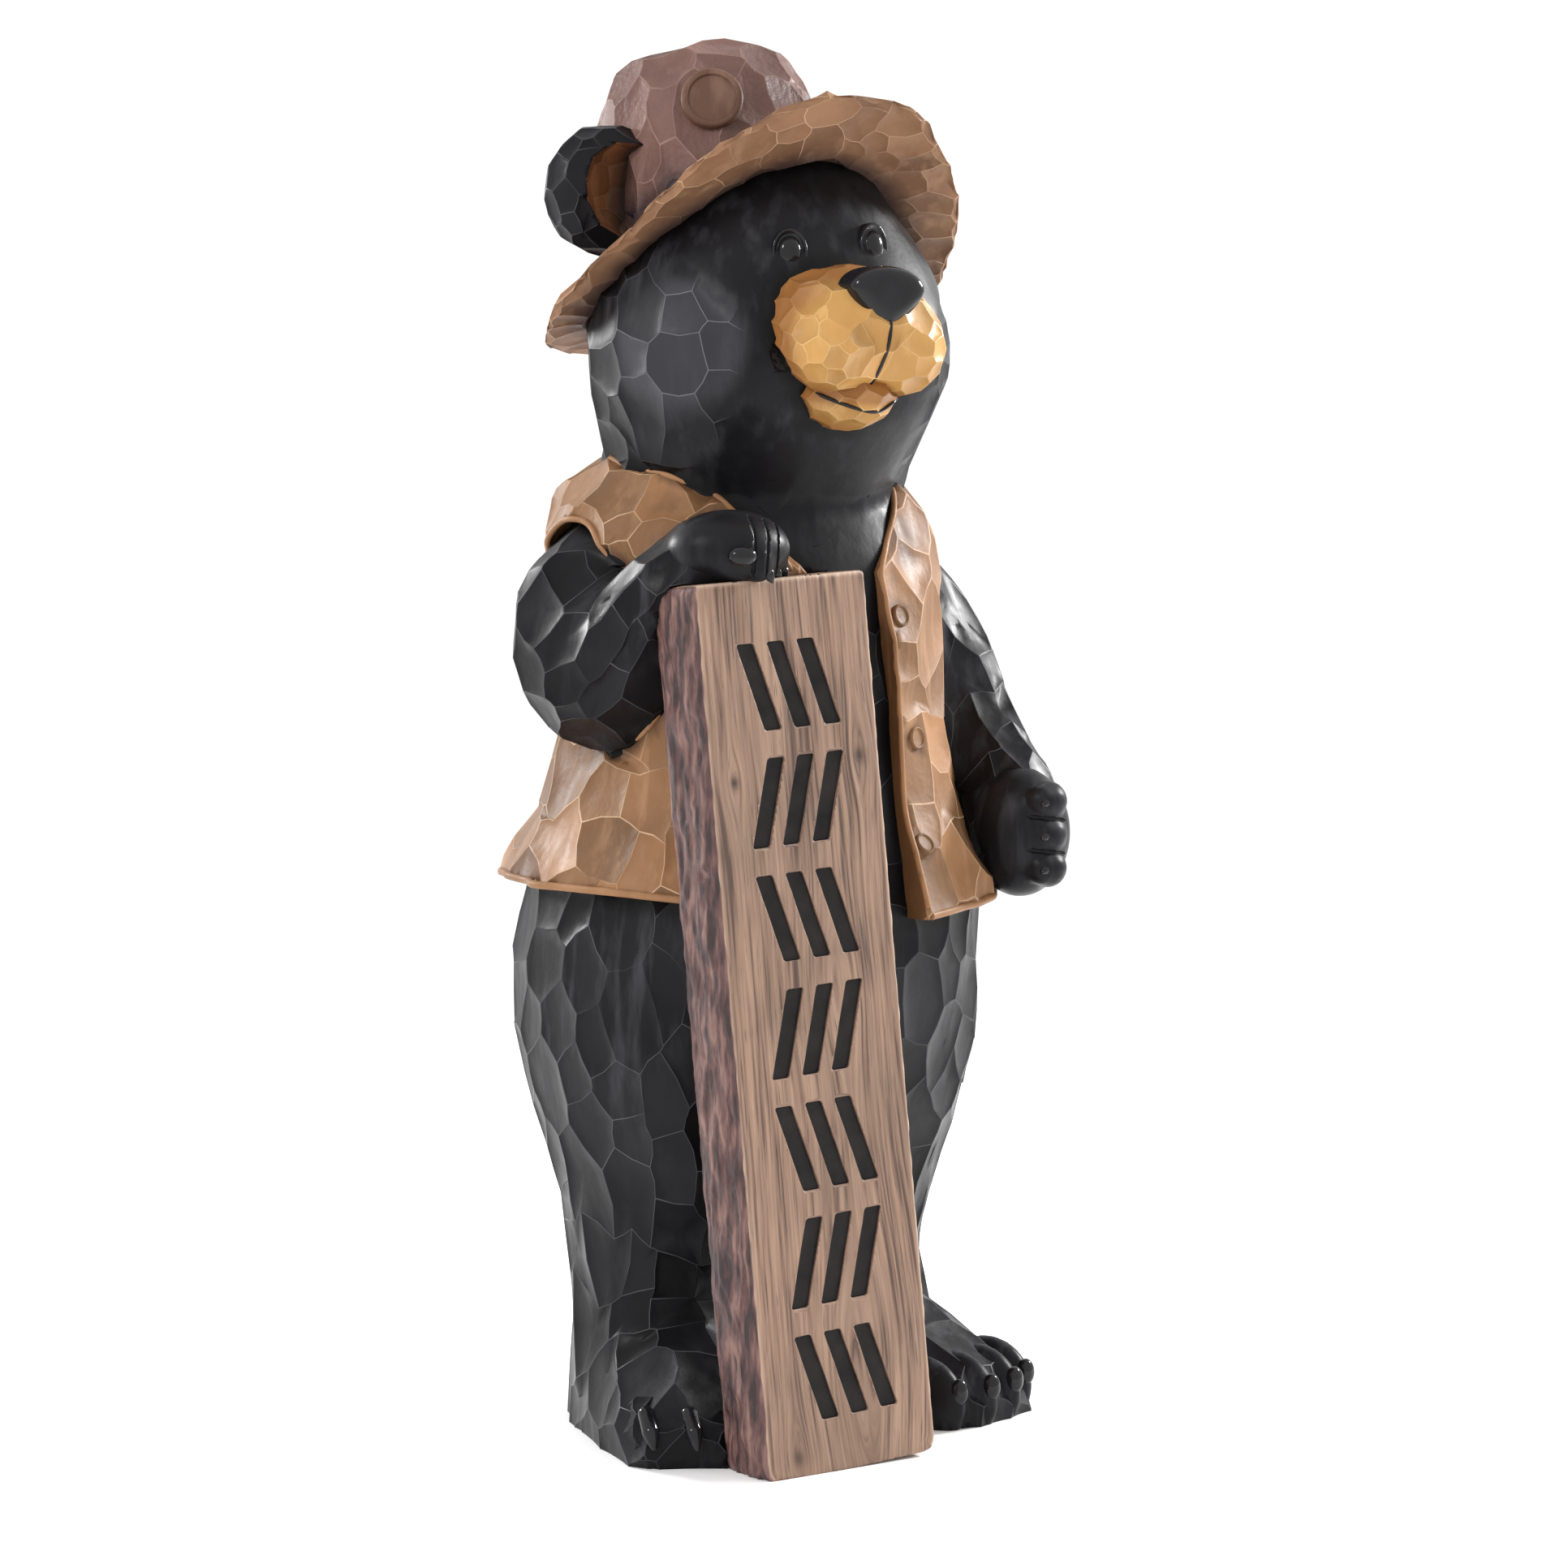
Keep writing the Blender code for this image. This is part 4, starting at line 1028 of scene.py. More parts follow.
# %% [markdown]
# ## Toes, fingers and claws
#
# Toes and fingers are short lumps melted into a pad, and the claws are thin limbs with a gloss paint. On
# the real bear the near foot is roughly gouged with pointed claws, and the far one is smoother with round
# ones. The far hand is a fist that holds the cloth. Grooves part the fingers: each one is a bead laid on
# the hand's skin and cut away, so it follows the hand however that was melted.

# %% Claws
CLAW = ((-0.6, 0.9), (0.4, 0.95), (0.8, 0.6), (1.0, 0.32))  # shares of its length and of its radius


def claw(name, start, tip, size, frame=BODY):
    """A short curved claw, thick at its root."""
    droop = Vector((0, 0, -1)) * size * 0.35
    stations = []
    for share, thick in CLAW:
        spot = start + (tip - start) * share + droop * share * share
        stations.append((*spot, size * thick))
    return shaded(melt(name, limb(stations, frame), 1.0, 2))


# %% Toes
toes, claws = [], []
for side, s in SIDES:
    here = foot_frame(s)
    lumps = []
    for k, aside in enumerate((-40, -14, 13, 38)):
        forward = 126 - 0.30 * abs(aside)
        lumps.append(ball((aside, -forward + 9, 15), (14.5, 34, 31), here))
        root = Vector((aside, -forward - 16, 27))
        name = f"claw_foot_{side}_{k + 1}"
        if side == "right":
            claws.append(claw(name, root, root + Vector((0, -12, -10)), 6.2, here))
        else:
            claws.append(shaded(named(ball(root + Vector((0, -5, -2)), (6.5, 6, 9), here), name)))
    foot = melt(f"toes_{side}", lumps, 2.5, 2)
    if side == "right":
        gouge(foot, 70, 63, rough=0.4, tilt=0.08, scoop=1.0, bevel=0.8, sway=0.14, stretch=1.7)
    else:
        sanded(foot)
    toes.append(sole(foot))


print("toes with", len(claws), "claws")

# %% Fingers and the grooves between them
FINGERS, KNUCKLE, DROP, CURL = 3, 0.3, 4, 6


def fingers(name, palm, along, down, spread, size, pitch, reach, stagger):
    """The lumps of three curled fingers side by side, with a claw at each tip."""
    lumps = []
    for k in range(FINGERS):
        rank = k - (FINGERS - 1) / 2
        middle = palm + spread * rank * pitch + along * rank * stagger
        tip = middle + along * reach + down * DROP
        end = tip + down * CURL + along * 2
        base = middle + along * reach * KNUCKLE
        lumps += limb([(*base, size), (*tip, size * 0.95), (*end, size * 0.8)])
        root = end + along * size * 0.4 + down * 2
        claws.append(claw(f"claw_{name}_{k + 1}", root, root + along * 4 + down * 6, 4.4))
    return lumps


def part_fingers(hand, routes, radius, taper):
    """Cuts a groove along each route, laid on the hand as it is seen from the right front."""
    grooves = [bead("groove", laid(hand, route, 0.0, ASIDE), radius, taper) for route in routes]
    for groove in grooves:
        cut(hand, groove)
    return hand


def farthest(hand):
    """How far across the hand reaches, seen from the right front."""
    to_side = ASIDE.inverted()
    return max((to_side @ v.co).x for v in hand.data.vertices)


# %% The right paw lies on the board, and the left one is a fist
DOWN, INWARD, UP = Vector((0, 0, -1)), Vector((-1, 0, 0)), Vector((0, 0, 1))
lumps = fingers(
    "right", Vector(RIGHT_PAW), Vector((0.80, -0.60, 0)), DOWN, Vector((0.60, 0.80, 0)), 12.5, 17, 21, 4
)
lumps.append(ball(RIGHT_PAW, (40, 34, 25), turn=-0.1))
paw = sanded(melt("paw_right", lumps, 2.0, 4))
end = farthest(paw)
routes = [[(end - off - 5, 600), (end - off, 588), (end - off - 2, 562)] for off in (21, 13, 7)]
part_fingers(paw, routes, 1.2, 0.4)
ahead = Vector((0.12, -0.99, 0)).normalized()
lumps = fingers("left", Vector(LEFT_PAW), ahead, INWARD, UP, 14, 22, 27, 0)
lumps.append(ball(Vector(LEFT_PAW) - Vector((3, 0, 0)), (32, 36, 43)))
fist = sanded(melt("fingers_left", lumps, 2.0, 2))
end = farthest(fist)
heights = [LEFT_PAW[2] + rank * 11 for rank in (1, -1)]
part_fingers(fist, [[(end - 30, z + 2), (end - 14, z), (end - 4, z - 2)] for z in heights], 1.6, 0.3)
thumb = Vector(RIGHT_PAW) + Vector((-12, -33, -3))
claws.append(named(ball(thumb, (9, 6, 6.5), turn=-0.35), "claw_thumb_right"))
print("hands, and", len(claws), "claws in all")
hands = [paw, fist]
for hand in hands:
    cut(hand, board_block())

# %% [markdown]
# ## The sign board
#
# The board was sawn along the trunk, so its right edge still carries bark and its faces show long grain. A
# cube is divided into a fine grid and its points are moved: edges are rounded, the bark bulges and cracks,
# and the grain stands up in low ridges that flow round the knots. The place across the grain is kept in an
# attribute, so that the finish draws the same lines. The rows of strokes are cut with a router, all in one
# cut.

# %% How each point of the board moves
HALF, EDGE_ROUND, CORNER_ROUND, FOOT_ROUND = BOARD_WIDTH / 2, 2.2, 4.5, 11.0
KNOTS = (  # (across, up, size, darkness)
    (49, 447, 5.0, 1.0), (-47, 439, 4.0, 1.0), (-41, 14, 5.0, 0.8), (14, 64, 15.0, 0.12), (20, 300, 9.0, 0.1),
)


def square_to_round(x, y):
    """Moves a corner zone's square grid onto a quarter circle."""
    reach, most = math.hypot(x, y), max(abs(x), abs(y))
    return (x, y) if reach < 1e-9 else (x * most / reach, y * most / reach)


def rounded(a, b, low, high, size):
    """Rounds the corners of a rectangle in two of a point's measures."""
    near_a = min(max(a, low[0] + size), high[0] - size)
    near_b = min(max(b, low[1] + size), high[1] - size)
    off_a, off_b = square_to_round(a - near_a, b - near_b)
    return near_a + off_a, near_b + off_b


def grain_at(x, z):
    """The place across the grain: lines of equal value wander a little and flow round the knots."""
    across = x + 5 * noise.noise(Vector((x / 60, 0.0, z / 210)))
    across += 1.2 * noise.noise(Vector((x / 14, 3.0, z / 90)))
    for knot_x, knot_z, size, _ in KNOTS:
        dx, dz = x - knot_x, z - knot_z
        fade = math.exp(-((dz / (5 * size)) ** 2) - (dx / (3 * size)) ** 2)
        across -= size * math.tanh(dx * 2 / size) * fade
    return across


def knot_at(x, z):
    """How deep in a knot a place is, from 0 to 1."""
    return max(
        dark * math.exp(-((x - kx) ** 2 + 0.5 * (z - kz) ** 2) / (size * 0.8) ** 2)
        for kx, kz, size, dark in KNOTS
    )


def bark_at(y, z):
    """How far the bark stands out at a place on the right edge."""
    crown = 1 - ((y - BOARD_THICK / 2) / (BOARD_THICK / 2)) ** 2
    plates = noise.ridged_multi_fractal(Vector((y / 11, 1.0, z / 30)), 0.8, 2.1, 4, 1.0, 2.0)
    lumps = noise.noise(Vector((y / 22, 7.0, z / 34)))
    return 3.2 * max(crown, 0.0) + (1.7 * plates - 1.9 + 2.4 * lumps) * min(1.0, 0.45 + max(crown, 0.0))


# %% The board's body
BOARD_CUTS = ((2, 230), (0, 110), (1, 30))  # (axis, cuts)


def board_grid():
    """A box divided finely enough for grain, bark and strokes."""
    bpy.ops.mesh.primitive_cube_add(size=1)
    made = bpy.context.object
    for v in made.data.vertices:
        v.co = (v.co.x * BOARD_WIDTH, (v.co.y + 0.5) * BOARD_THICK, (v.co.z + 0.5) * BOARD_LENGTH)
    bm = bmesh.new()
    bm.from_mesh(made.data)
    for axis, cuts in BOARD_CUTS:
        along = [e for e in bm.edges if abs((e.verts[0].co - e.verts[1].co).normalized()[axis]) > 0.9]
        bmesh.ops.subdivide_edges(bm, edges=along, cuts=cuts, use_grid_fill=True)
    bm.to_mesh(made.data)
    bm.free()
    return named(made, "board")


def shape_board(obj):
    """Moves the grid's points, and notes grain, knots, bark and the pale edges, which are worn wood and a
    painted highlight.
    """
    marks = {"grain": [], "knot": [], "bark": [], "worn": []}
    for v in obj.data.vertices:
        x, y, z = v.co
        grain = grain_at(x, z)
        ragged = 2.2 + 2.2 * noise.noise(Vector((y / 20, 2.0, z / 13)))
        skin = min(1.0, max(0.0, (-HALF + ragged - x) / max(ragged, 0.8)))
        front = 1.0 if y < 0.01 else 0.0
        edge = min(x + HALF, HALF - x, BOARD_LENGTH - z)
        marks["grain"].append(grain)
        marks["knot"].append(knot_at(x, z))
        marks["bark"].append(skin)
        # The front's edges are paler: worn wood, and a painted highlight along the rounded edge
        marks["worn"].append(math.exp(-max(edge, 0.0) / 2.5 - y / 2.5))
        low, high = (-HALF, 0.0), (HALF, BOARD_LENGTH)
        x1, z1 = rounded(x, z, low, high, FOOT_ROUND if z < BOARD_LENGTH / 2 else CORNER_ROUND)
        x2, y2 = rounded(x1, y, (-HALF, 0.0), (HALF, BOARD_THICK), EDGE_ROUND)
        y3, z3 = rounded(y2, z1, (0.0, 0.0), (BOARD_THICK, BOARD_LENGTH), EDGE_ROUND)
        ridges = 0.30 * noise.noise(Vector((grain / 2.6, 0.0, z / 150)))
        ridges += 0.22 * noise.noise(Vector((grain / 7, 5.0, z / 200)))
        y3 += front * (ridges + 0.5 * knot_at(x, z) + 0.3)
        if skin > 0.0:
            x2 -= skin * bark_at(y, z)
        if x > HALF - 0.01:
            x2 += 0.9 * noise.noise(Vector((y / 16, 9.0, z / 12))) - 0.3
        v.co = (x2, y3, z3)
    for name, values in marks.items():
        note(obj, name, "POINT", values)
    return obj


board = shape_board(board_grid())
board.data.transform(BOARD)
shaded(board)

# %% The rows of strokes
ROWS, STROKES, STROKE_WIDE, STROKE_DEEP = 7, 3, 13.0, 1.9
PITCH, FIRST, TALL, SLANT, SPACING = 0.1285 * BOARD_LENGTH, 0.92, 0.76, 0.3, 1.75


def stroke_outline(row, k):
    """A slanting stroke with clipped corners. The rows slant to and fro in turn."""
    middle = BOARD_LENGTH - PITCH * (row + FIRST)
    tall = PITCH * TALL
    slant = tall * SLANT * (1 if row % 2 else -1)
    across = (k - (STROKES - 1) / 2) * STROKE_WIDE * SPACING
    ends = ((-0.8, -1), (0.8, -1), (1, -0.96), (1, 0.96), (0.8, 1), (-0.8, 1), (-1, 0.96), (-1, -0.96))
    return [
        (across + (side * STROKE_WIDE + end * slant) / 2, middle + end * tall / 2) for side, end in ends
    ]


strokes = [
    prism(stroke_outline(row, k), -3, STROKE_DEEP, BOARD) for row in range(ROWS) for k in range(STROKES)
]
only(*strokes)
bpy.ops.object.join()
cut(board, bpy.context.object)
sole(board)
to_board = BOARD.inverted()
for face in board.data.polygons:
    place, out = to_board @ face.center, to_board.to_3x3() @ face.normal
    face.material_index = 1 if 1.3 < place.y < 2.0 and abs(place.x) < 45 and out.y < -0.5 else 0
print("the board has", len(board.data.polygons), "faces")

# %% [markdown]
# ## Finishes
#
# Stain soaks into carved wood unevenly: it is thin in patches and rubbed off along the ridges, which a
# painted highlight also lightens. Painted shade darkens it in the seams between two forms. The attributes
# kept by the carving say where those places are, and noise in the object's own measures breaks them up.
# Each colour of the bear is the same recipe with other colours.
# The board's grain follows the place across the grain that shaped its ridges, so that the relief and the
# drawn lines agree.

# %% Node helpers
def new_finish(name):
    """A material with its node tree and the object's own measures."""
    mat = bpy.data.materials.new(name)
    mat.use_nodes = True
    where = node(mat.node_tree, "ShaderNodeTexCoord").outputs["Object"]
    return mat, mat.node_tree, where


def finish_off(tree, colour, rough, shine=None):
    """Plugs a colour and a roughness into the shader, and returns it."""
    shader = tree.nodes["Principled BSDF"]
    tree.links.new(colour, shader.inputs["Base Color"])
    tree.links.new(rough, shader.inputs["Roughness"])
    if shine is not None:
        shader.inputs["Specular IOR Level"].default_value = shine
    return shader


def relief(tree, height, strength, depth):
    """Plugs a bump of a height in millimetres into the shader."""
    bump = node(tree, "ShaderNodeBump", {"Height": height}, Strength=strength, Distance=depth * MM)
    tree.links.new(bump.outputs["Normal"], tree.nodes["Principled BSDF"].inputs["Normal"])


def node(tree, kind, links=(), **values):
    """A node with its settings, its numbers and what is plugged into it."""
    made = tree.nodes.new(kind)
    for key, value in values.items():
        if key in made.inputs:
            made.inputs[key].default_value = value
        else:
            setattr(made, key, value)
    for key, source in dict(links).items():
        tree.links.new(source, made.inputs[key])
    return made


def ramp(tree, source, stops):
    """A colour ramp from (position, colour) pairs."""
    made = node(tree, "ShaderNodeValToRGB", {"Fac": source})
    points = made.color_ramp.elements
    points[0].position, points[0].color = stops[0][0], (*stops[0][1], 1)
    points[1].position, points[1].color = stops[-1][0], (*stops[-1][1], 1)
    for position, colour in stops[1:-1]:
        points.new(position).color = (*colour, 1)
    return made.outputs["Color"]


def fade(tree, source, low, dark, high, light):
    """A grey that goes from one value at a low input to another at a high one."""
    return ramp(tree, source, ((low, (dark,) * 3), (high, (light,) * 3)))


def mixed(tree, factor, one, other, blend="MIX"):
    """A mix of two colours, each a socket or a plain colour."""
    made = tree.nodes.new("ShaderNodeMix")
    made.data_type = "RGBA"
    made.blend_type = blend
    for index, value in ((0, factor), (6, one), (7, other)):
        if isinstance(value, bpy.types.NodeSocket):
            tree.links.new(value, made.inputs[index])
        elif index == 0:
            made.inputs[index].default_value = value
        else:
            made.inputs[index].default_value = (*value, 1)
    return made.outputs[2]


# %% Painted shade darkens the stain in the seams between pieces
def note_seam_shade(obj, others, reach, also=None):
    """Notes painted shade on a piece where it meets its neighbours, from 1 where they touch to 0 at a reach
    away.
    """
    near = [1e9] * len(obj.data.vertices)
    for other in others:
        tree = tree_of(other)
        for k, v in enumerate(obj.data.vertices):
            found = tree.find_nearest(v.co, reach * MM)
            if found[0] is not None:
                near[k] = min(near[k], found[3])
    seams = [max(0.0, 1 - distance / (reach * MM)) for distance in near]
    if also:
        seams = [max(seam_shade_and_mouth, also(v.co)) for seam_shade_and_mouth, v in zip(seams, obj.data.vertices)]
    note(obj, "seam_shade_and_mouth", "POINT", seams)


def muzzle_back_shade(place):
    """Painted shade: the ochre turns darker brown towards the back and the top of the muzzle, where it meets
    the head.
    """
    x, y, z = to_head @ place
    return 0.8 * max(eased(-144, -116, y), 0.8 * eased(28, 44, z) * eased(-150, -120, y))


def mouth_shade(place):
    """Above the smile the jaw is the brown inside of the mouth."""
    x, y, z = to_head @ place
    return 0.7 * max(eased(-46, -40, z), eased(-124, -100, y))


# Painted shade where each piece meets its neighbours, with the further places that some pieces add
note_seam_shade(muzzle, [coat], 12, muzzle_back_shade)
note_seam_shade(jaw, [coat, muzzle], 12, mouth_shade)
note_seam_shade(vest, [coat, *hands, *buttons], 4)
note_seam_shade(brim, [coat, band], 18)
note_seam_shade(crown, [band], 8)
note_seam_shade(coat, [vest, brim, muzzle, jaw], 12)
for ear in ears:
    note_seam_shade(ear, [brim, crown], 16)

# %% The carved stain
def attribute(tree, name):
    """A mesh attribute as a number."""
    return node(tree, "ShaderNodeAttribute", attribute_name=name).outputs["Fac"]


def speckle(tree, where, scale, detail=4.0, stretch=(1, 1, 1)):
    """Noise at a scale, drawn out along an axis where its stretch is small."""
    laid_out = node(tree, "ShaderNodeMapping", {"Vector": where}, Scale=stretch).outputs["Vector"]
    return node(tree, "ShaderNodeTexNoise", {"Vector": laid_out}, Scale=scale, Detail=detail).outputs["Fac"]


def carved_stain(name, colours, rough, bump, shine, patch, amount, spread, depth=1.0):
    """Stain on gouged wood: toned facets, ridges rubbed and lit by a painted highlight, worn streaks, and
    painted shade in the seams.
    """
    deep, body, worn, crest_wear_and_highlight, seam_shade_and_mouth = colours
    mat, tree, where = new_finish(name)
    base = ramp(tree, speckle(tree, where, 12.0), ((0.35, deep), (0.65, body)))
    pale = fade(tree, attribute(tree, "pale"), 0.0, 0.0, 1.0, 0.7)
    base = mixed(tree, pale, base, worn)
    shade = fade(tree, attribute(tree, "tone"), 0.0, 1 - spread / 2, 1.0, 1 + spread / 2)
    base = mixed(tree, 1.0, base, shade, "MULTIPLY")
    streaks = speckle(tree, where, 1.0, 5.0, (90, 90, 14))
    patches = fade(tree, speckle(tree, where, patch, 3.0), 0.44, 0.0, 0.62, 1.0)
    dry = fade(tree, streaks, 0.5, 0.0, 0.72, 0.7)
    base = mixed(tree, mixed(tree, 1.0, dry, patches, "MULTIPLY"), base, worn)
    # Ridge lines: the stain rubbed off them, and a painted highlight where light would catch them
    line = fade(tree, attribute(tree, "ridge"), 0.45, 0.0, 0.95, 1.0)
    ridge_rub_and_highlight = fade(tree, speckle(tree, where, patch * 3, 3.0), 0.38, 0.08, 0.62, amount)
    ridge_rub_and_highlight = mixed(tree, 1.0, ridge_rub_and_highlight, pale, "LIGHTEN")
    base = mixed(tree, mixed(tree, 1.0, line, ridge_rub_and_highlight, "MULTIPLY"), base, crest_wear_and_highlight)
    # Painted shade near the seams between pieces; on the jaw also the brown inside of the mouth
    corner = fade(tree, attribute(tree, "seam_shade_and_mouth"), 0.1, 0.0, 0.85, 0.9)
    base = mixed(tree, corner, base, seam_shade_and_mouth)
    finish_off(tree, base, fade(tree, streaks, 0.3, rough[0], 0.7, rough[1]), shine)
    relief(tree, mixed(tree, 0.55, speckle(tree, where, 170.0), streaks), bump, depth)
    return mat


# %% One stain for each colour of the carving: its deep, body, worn, crest (rubbed and painted highlight) and painted seams-shade colours, then its surface
black_stain = carved_stain(
    "black_stain",
    ((0.004, 0.004, 0.005), (0.011, 0.0105, 0.0125), (0.05, 0.05, 0.057), (0.20, 0.20, 0.215), (0.002,) * 3),
    rough=(0.30, 0.48), bump=0.3, shine=0.13, patch=5.0, amount=0.45, spread=1.0,
)
tan_stain = carved_stain(
    "tan_stain",
    (
        (0.165, 0.078, 0.032), (0.275, 0.138, 0.062), (0.37, 0.21, 0.11),
        (0.68, 0.47, 0.30), (0.06, 0.026, 0.011),
    ),
    rough=(0.45, 0.62), bump=0.6, shine=0.26, patch=7.0, amount=0.85, spread=0.6, depth=1.4,
)
brown_stain = carved_stain(
    "brown_stain",
    (
        (0.15, 0.073, 0.041), (0.27, 0.142, 0.075), (0.35, 0.205, 0.12),
        (0.62, 0.42, 0.27), (0.045, 0.027, 0.024),
    ),
    rough=(0.48, 0.66), bump=0.5, shine=0.2, patch=7.0, amount=0.85, spread=0.35, depth=1.3,
)
mauve_stain = carved_stain(
    "mauve_stain",
    (
        (0.09, 0.046, 0.038), (0.165, 0.088, 0.072), (0.27, 0.165, 0.135),
        (0.40, 0.27, 0.22), (0.04, 0.022, 0.022),
    ),
    rough=(0.45, 0.65), bump=0.9, shine=0.22, patch=8.0, amount=0.55, spread=0.5, depth=3.0,
)
band_stain = carved_stain(
    "band_stain",
    (
        (0.016, 0.010, 0.014), (0.030, 0.018, 0.024), (0.06, 0.045, 0.045),
        (0.10, 0.075, 0.075), (0.008, 0.006, 0.008),
    ),
    rough=(0.45, 0.6), bump=0.5, shine=0.22, patch=8.0, amount=0.3, spread=0.3, depth=1.5,
)
ochre_stain = carved_stain(
    "ochre_stain",
    (
        (0.40, 0.20, 0.052), (0.53, 0.295, 0.09), (0.60, 0.37, 0.14),
        (0.78, 0.54, 0.26), (0.24, 0.088, 0.021),
    ),
    rough=(0.34, 0.5), bump=0.4, shine=0.36, patch=9.0, amount=0.85, spread=0.4,
)
ear_stain = carved_stain(
    "ear_stain",
    (
        (0.10, 0.037, 0.015), (0.22, 0.088, 0.031), (0.30, 0.14, 0.056),
        (0.36, 0.19, 0.085), (0.012, 0.007, 0.006),
    ),
    rough=(0.45, 0.6), bump=0.5, shine=0.25, patch=9.0, amount=0.5, spread=0.4, depth=1.5,
)
disc_stain = carved_stain(
    "disc_stain",
    (
        (0.085, 0.042, 0.028), (0.155, 0.076, 0.05), (0.22, 0.13, 0.09),
        (0.4, 0.28, 0.2), (0.03, 0.015, 0.012),
    ),
    rough=(0.48, 0.62), bump=0.6, shine=0.22, patch=9.0, amount=0.5, spread=0.3, depth=1.5,
)


# %% Gloss paint and matt black paint
def paint(name, scale, detail, dark, light, smooth, dull, shine):
    """Plain paint whose colour and gloss vary a little."""
    mat, tree, where = new_finish(name)
    dabs = speckle(tree, where, scale, detail)
    tint = ramp(tree, dabs, ((0.3, dark), (0.7, light)))
    finish_off(tree, tint, fade(tree, dabs, 0.3, smooth, 0.7, dull), shine)
    return mat


gloss = paint("gloss_paint", 40.0, 3.0, (0.006, 0.006, 0.007), (0.014, 0.013, 0.015), 0.06, 0.14, 0.3)
stroke_paint = paint(
    "stroke_paint", 60.0, 4.0, (0.008, 0.007, 0.007), (0.022, 0.019, 0.018), 0.45, 0.65, 0.15
)

# %% Board wood: long grain, pores, knots, and pale edges that are worn wood and a painted highlight
board_wood, tree, where = new_finish("board_wood")
parts = node(tree, "ShaderNodeSeparateXYZ", {"Vector": where}).outputs
across = node(tree, "ShaderNodeMath", {0: attribute(tree, "grain")}, operation="MULTIPLY")
across.inputs[1].default_value = MM
ways = {"X": across.outputs[0], "Y": parts["Y"], "Z": parts["Z"]}
along = node(tree, "ShaderNodeCombineXYZ", ways).outputs[0]
fine = speckle(tree, along, 1.0, 6.0, (420, 160, 7))
wide = speckle(tree, along, 1.0, 3.0, (90, 60, 3))
stripes = mixed(tree, 0.4, fine, wide)
GRAIN = ((0.38, (0.085, 0.046, 0.031)), (0.47, (0.235, 0.138, 0.092)), (0.63, (0.35, 0.222, 0.15)))
wood = ramp(tree, stripes, GRAIN)
pores = fade(tree, speckle(tree, along, 1.0, 2.0, (900, 300, 30)), 0.62, 1.0, 0.72, 0.45)
wood = mixed(tree, 1.0, wood, pores, "MULTIPLY")
stains = fade(tree, speckle(tree, where, 11.0, 4.0), 0.35, 0.82, 0.7, 1.12)
wood = mixed(tree, 1.0, wood, stains, "MULTIPLY")
wood = mixed(tree, attribute(tree, "knot"), wood, (0.035, 0.016, 0.010))
# Pale edges: worn wood, and a painted highlight
pale = fade(tree, attribute(tree, "worn"), 0.25, 0.0, 0.9, 0.75)
wood = mixed(tree, pale, wood, (0.60, 0.43, 0.32))

# %% Bark on the board's right edge
cracks = speckle(tree, where, 1.0, 7.0, (190, 190, 34))
BARK = ((0.38, (0.022, 0.009, 0.009)), (0.5, (0.085, 0.036, 0.033)), (0.66, (0.20, 0.108, 0.088)))
skin = ramp(tree, cracks, BARK)
cover = fade(tree, attribute(tree, "bark"), 0.25, 0.0, 0.75, 1.0)
wood = mixed(tree, cover, wood, skin)
finish_off(tree, wood, fade(tree, stripes, 0.3, 0.62, 0.7, 0.46))
relief(tree, mixed(tree, cover, mixed(tree, 0.5, stripes, pores), cracks), 0.55, 1.2)

# %% Dress the pieces
def dress(obj, slot, solid, *mats):
    """Gives a piece its finishes and its body, and hides the solid that it stands for."""
    obj.data.validate()
    marks = [face.material_index for face in obj.data.polygons]
    obj.data.materials.clear()
    for mat in mats:
        obj.data.materials.append(mat)
    for face, mark in zip(obj.data.polygons, marks):
        face.material_index = min(mark, len(mats) - 1)
    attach(obj, "root")
    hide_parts(solid)


WARDROBE = (
    ((coat, *toes, *hands), "black_coat", (black_stain,)),
    (ears, "black_coat", (black_stain, ear_stain)),
    ((vest, *buttons, *trims), "waistcoat_tan", (tan_stain,)),
    ((brim,), "hat_brown", (brown_stain,)),
    ((crown,), "crown_mauve", (mauve_stain,)),
    ((medallion,), "crown_mauve", (disc_stain,)),
    ((band,), "crown_mauve", (band_stain,)),
    ((muzzle, jaw), "muzzle_ochre", (ochre_stain,)),
    ((nose, *claws, *face_lines), "gloss_black", (gloss,)),
)
for pieces, slot, mats in WARDROBE:
    for piece in pieces:
        dress(piece, slot, "bear", *mats)
for piece, solid in zip(eyes, ("eye_right", "eye_left")):
    dress(piece, "eye_gloss", solid, gloss)
dress(board, "sign_wood", "sign_plank", board_wood, stroke_paint)
print("finishes:", ", ".join(mat.name for mat in bpy.data.materials if mat.users))

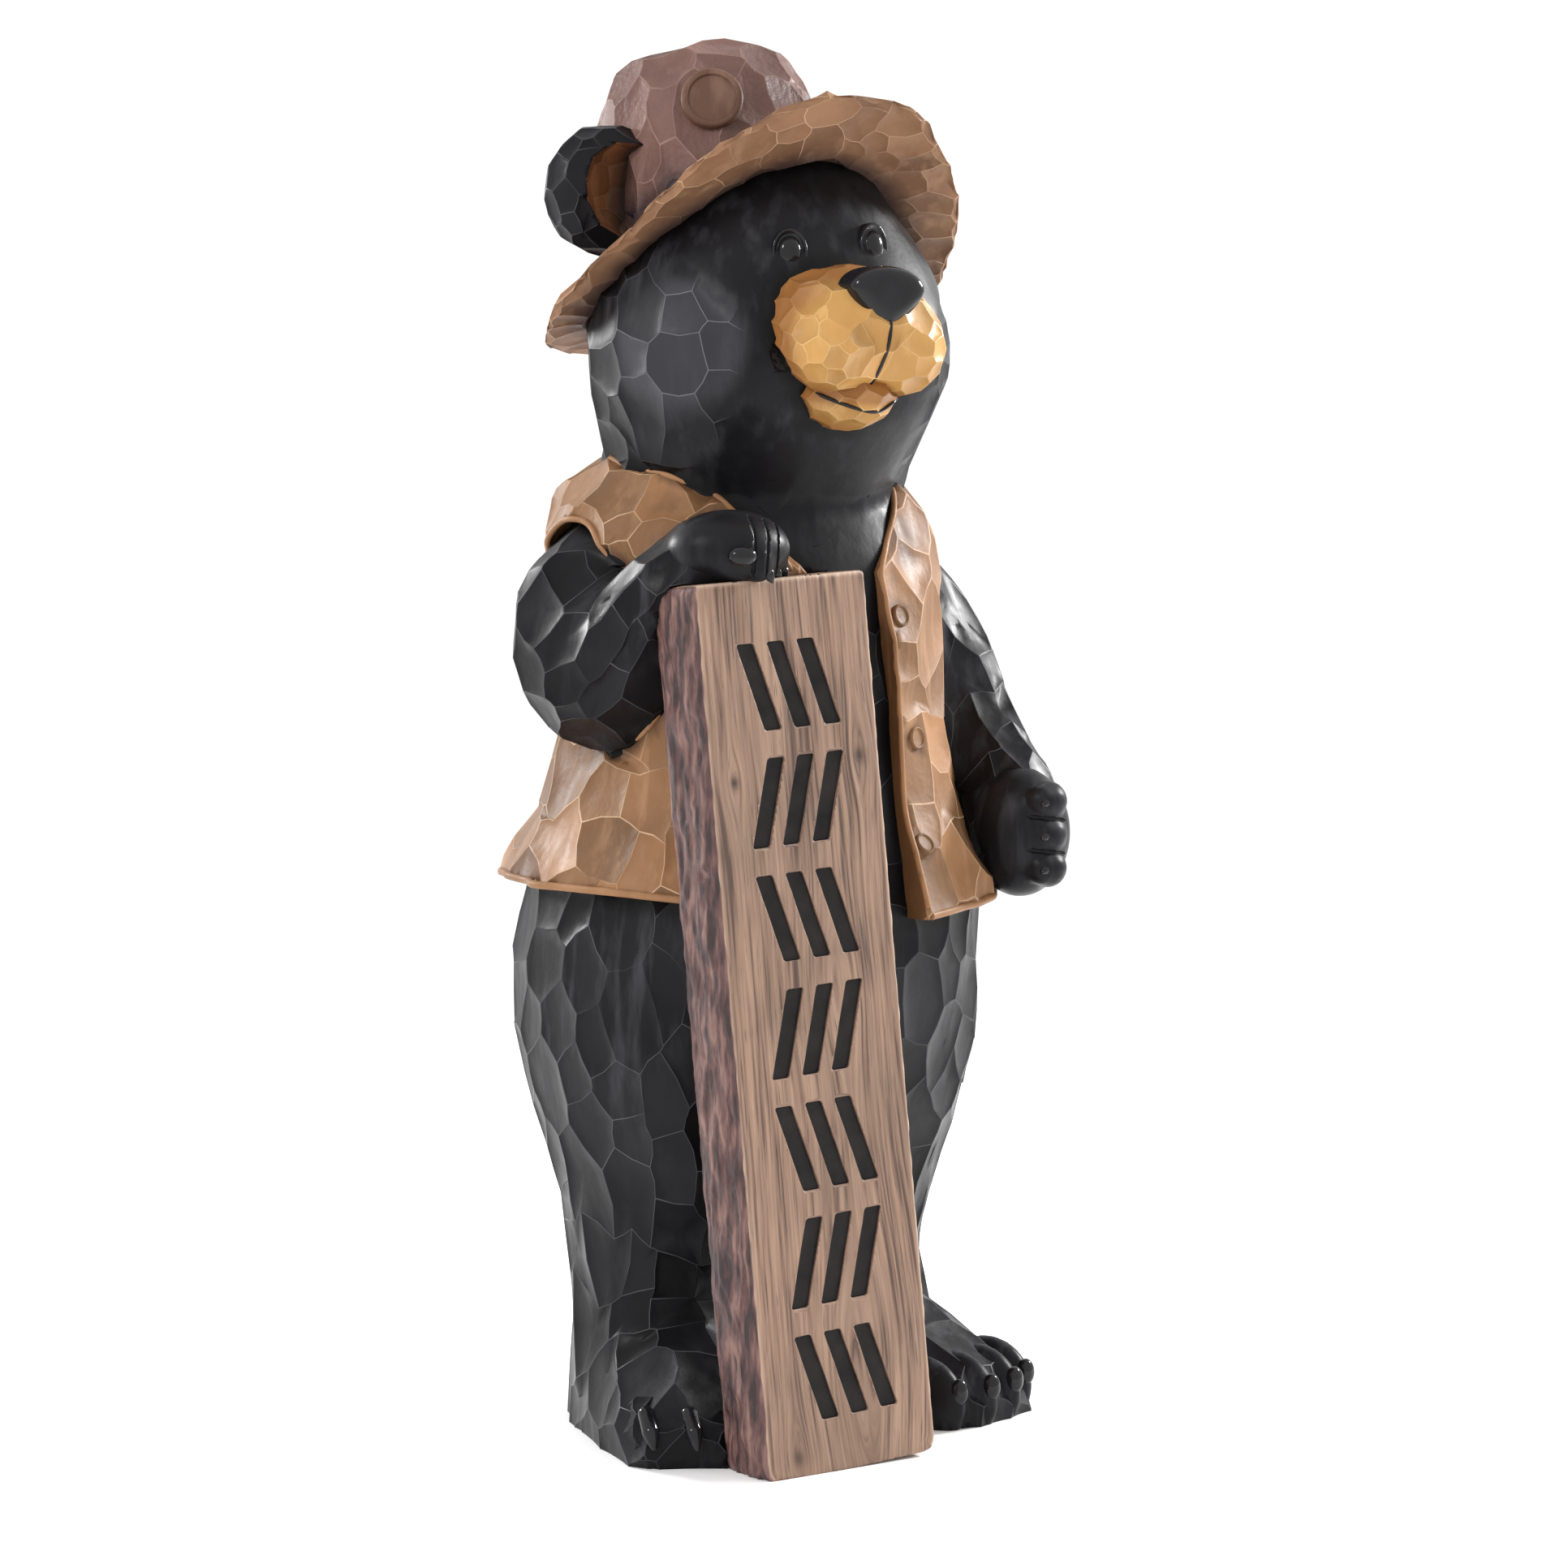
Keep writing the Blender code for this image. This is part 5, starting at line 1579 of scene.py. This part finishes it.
# %% [markdown]
# ## The studio
#
# The bear stands on a plain pale floor in a bright even room, as in a catalogue. One soft lamp in front
# shapes the facets, and two smaller ones behind draw light rims along the dark coat, which would be lost
# without them. The camera has a long lens and stands at the bear's right front, a little above its middle,
# as the photographer did. The lamps are placed as the camera sees them.

# %% Floor
bpy.ops.mesh.primitive_plane_add(size=30)
floor = bpy.context.object
floor.name = "floor"
floor_paint, tree, where = new_finish("floor_paint")
shader = tree.nodes["Principled BSDF"]
shader.inputs["Base Color"].default_value = (0.97, 0.97, 0.97, 1)
shader.inputs["Roughness"].default_value = 0.8
floor.data.materials.append(floor_paint)

# %% The room's light
world = bpy.data.worlds.new("studio")
bpy.context.scene.world = world
world.use_nodes = True
sky = world.node_tree.nodes["Background"]
sky.inputs["Color"].default_value = (1, 1, 1, 1)
sky.inputs["Strength"].default_value = 1.06

# %% Camera
TARGET = LOG + Vector((0.018, -0.021, 0.418))
AZIMUTH, ELEVATION, DISTANCE, LENS = math.radians(-35), math.radians(5), 3.0, 104.4
level = math.cos(ELEVATION)
away = Vector((math.sin(AZIMUTH) * level, -math.cos(AZIMUTH) * level, math.sin(ELEVATION)))
turn = away.to_track_quat("Z", "Y").to_euler()
bpy.ops.object.camera_add(location=TARGET + away * DISTANCE, rotation=turn)
camera = bpy.context.object
camera.data.sensor_width = 36
camera.data.lens = LENS
bpy.context.scene.camera = camera

print("the camera stands at", [round(c, 2) for c in camera.location])

# %% Lamps
right = Vector((math.cos(AZIMUTH), math.sin(AZIMUTH), 0))
back = Vector((-away.x, -away.y, 0)).normalized()


def lamp(name, across, behind, height, size, power):
    """A soft square lamp that looks at the bear, placed as the camera sees it."""
    place = TARGET + right * across + back * behind + Vector((0, 0, height))
    turn = (place - TARGET).to_track_quat("Z", "Y").to_euler()
    bpy.ops.object.light_add(type="AREA", location=place, rotation=turn)
    light = bpy.context.object
    light.name = name
    light.data.size = size
    light.data.energy = power


lamp("key", -1.5, -1.6, 1.7, 0.5, 22)
lamp("rim_right", 1.7, 0.9, 0.9, 0.4, 60)
lamp("rim_left", -1.8, 1.2, 0.7, 0.5, 30)
bpy.context.scene.view_settings.view_transform = "Standard"
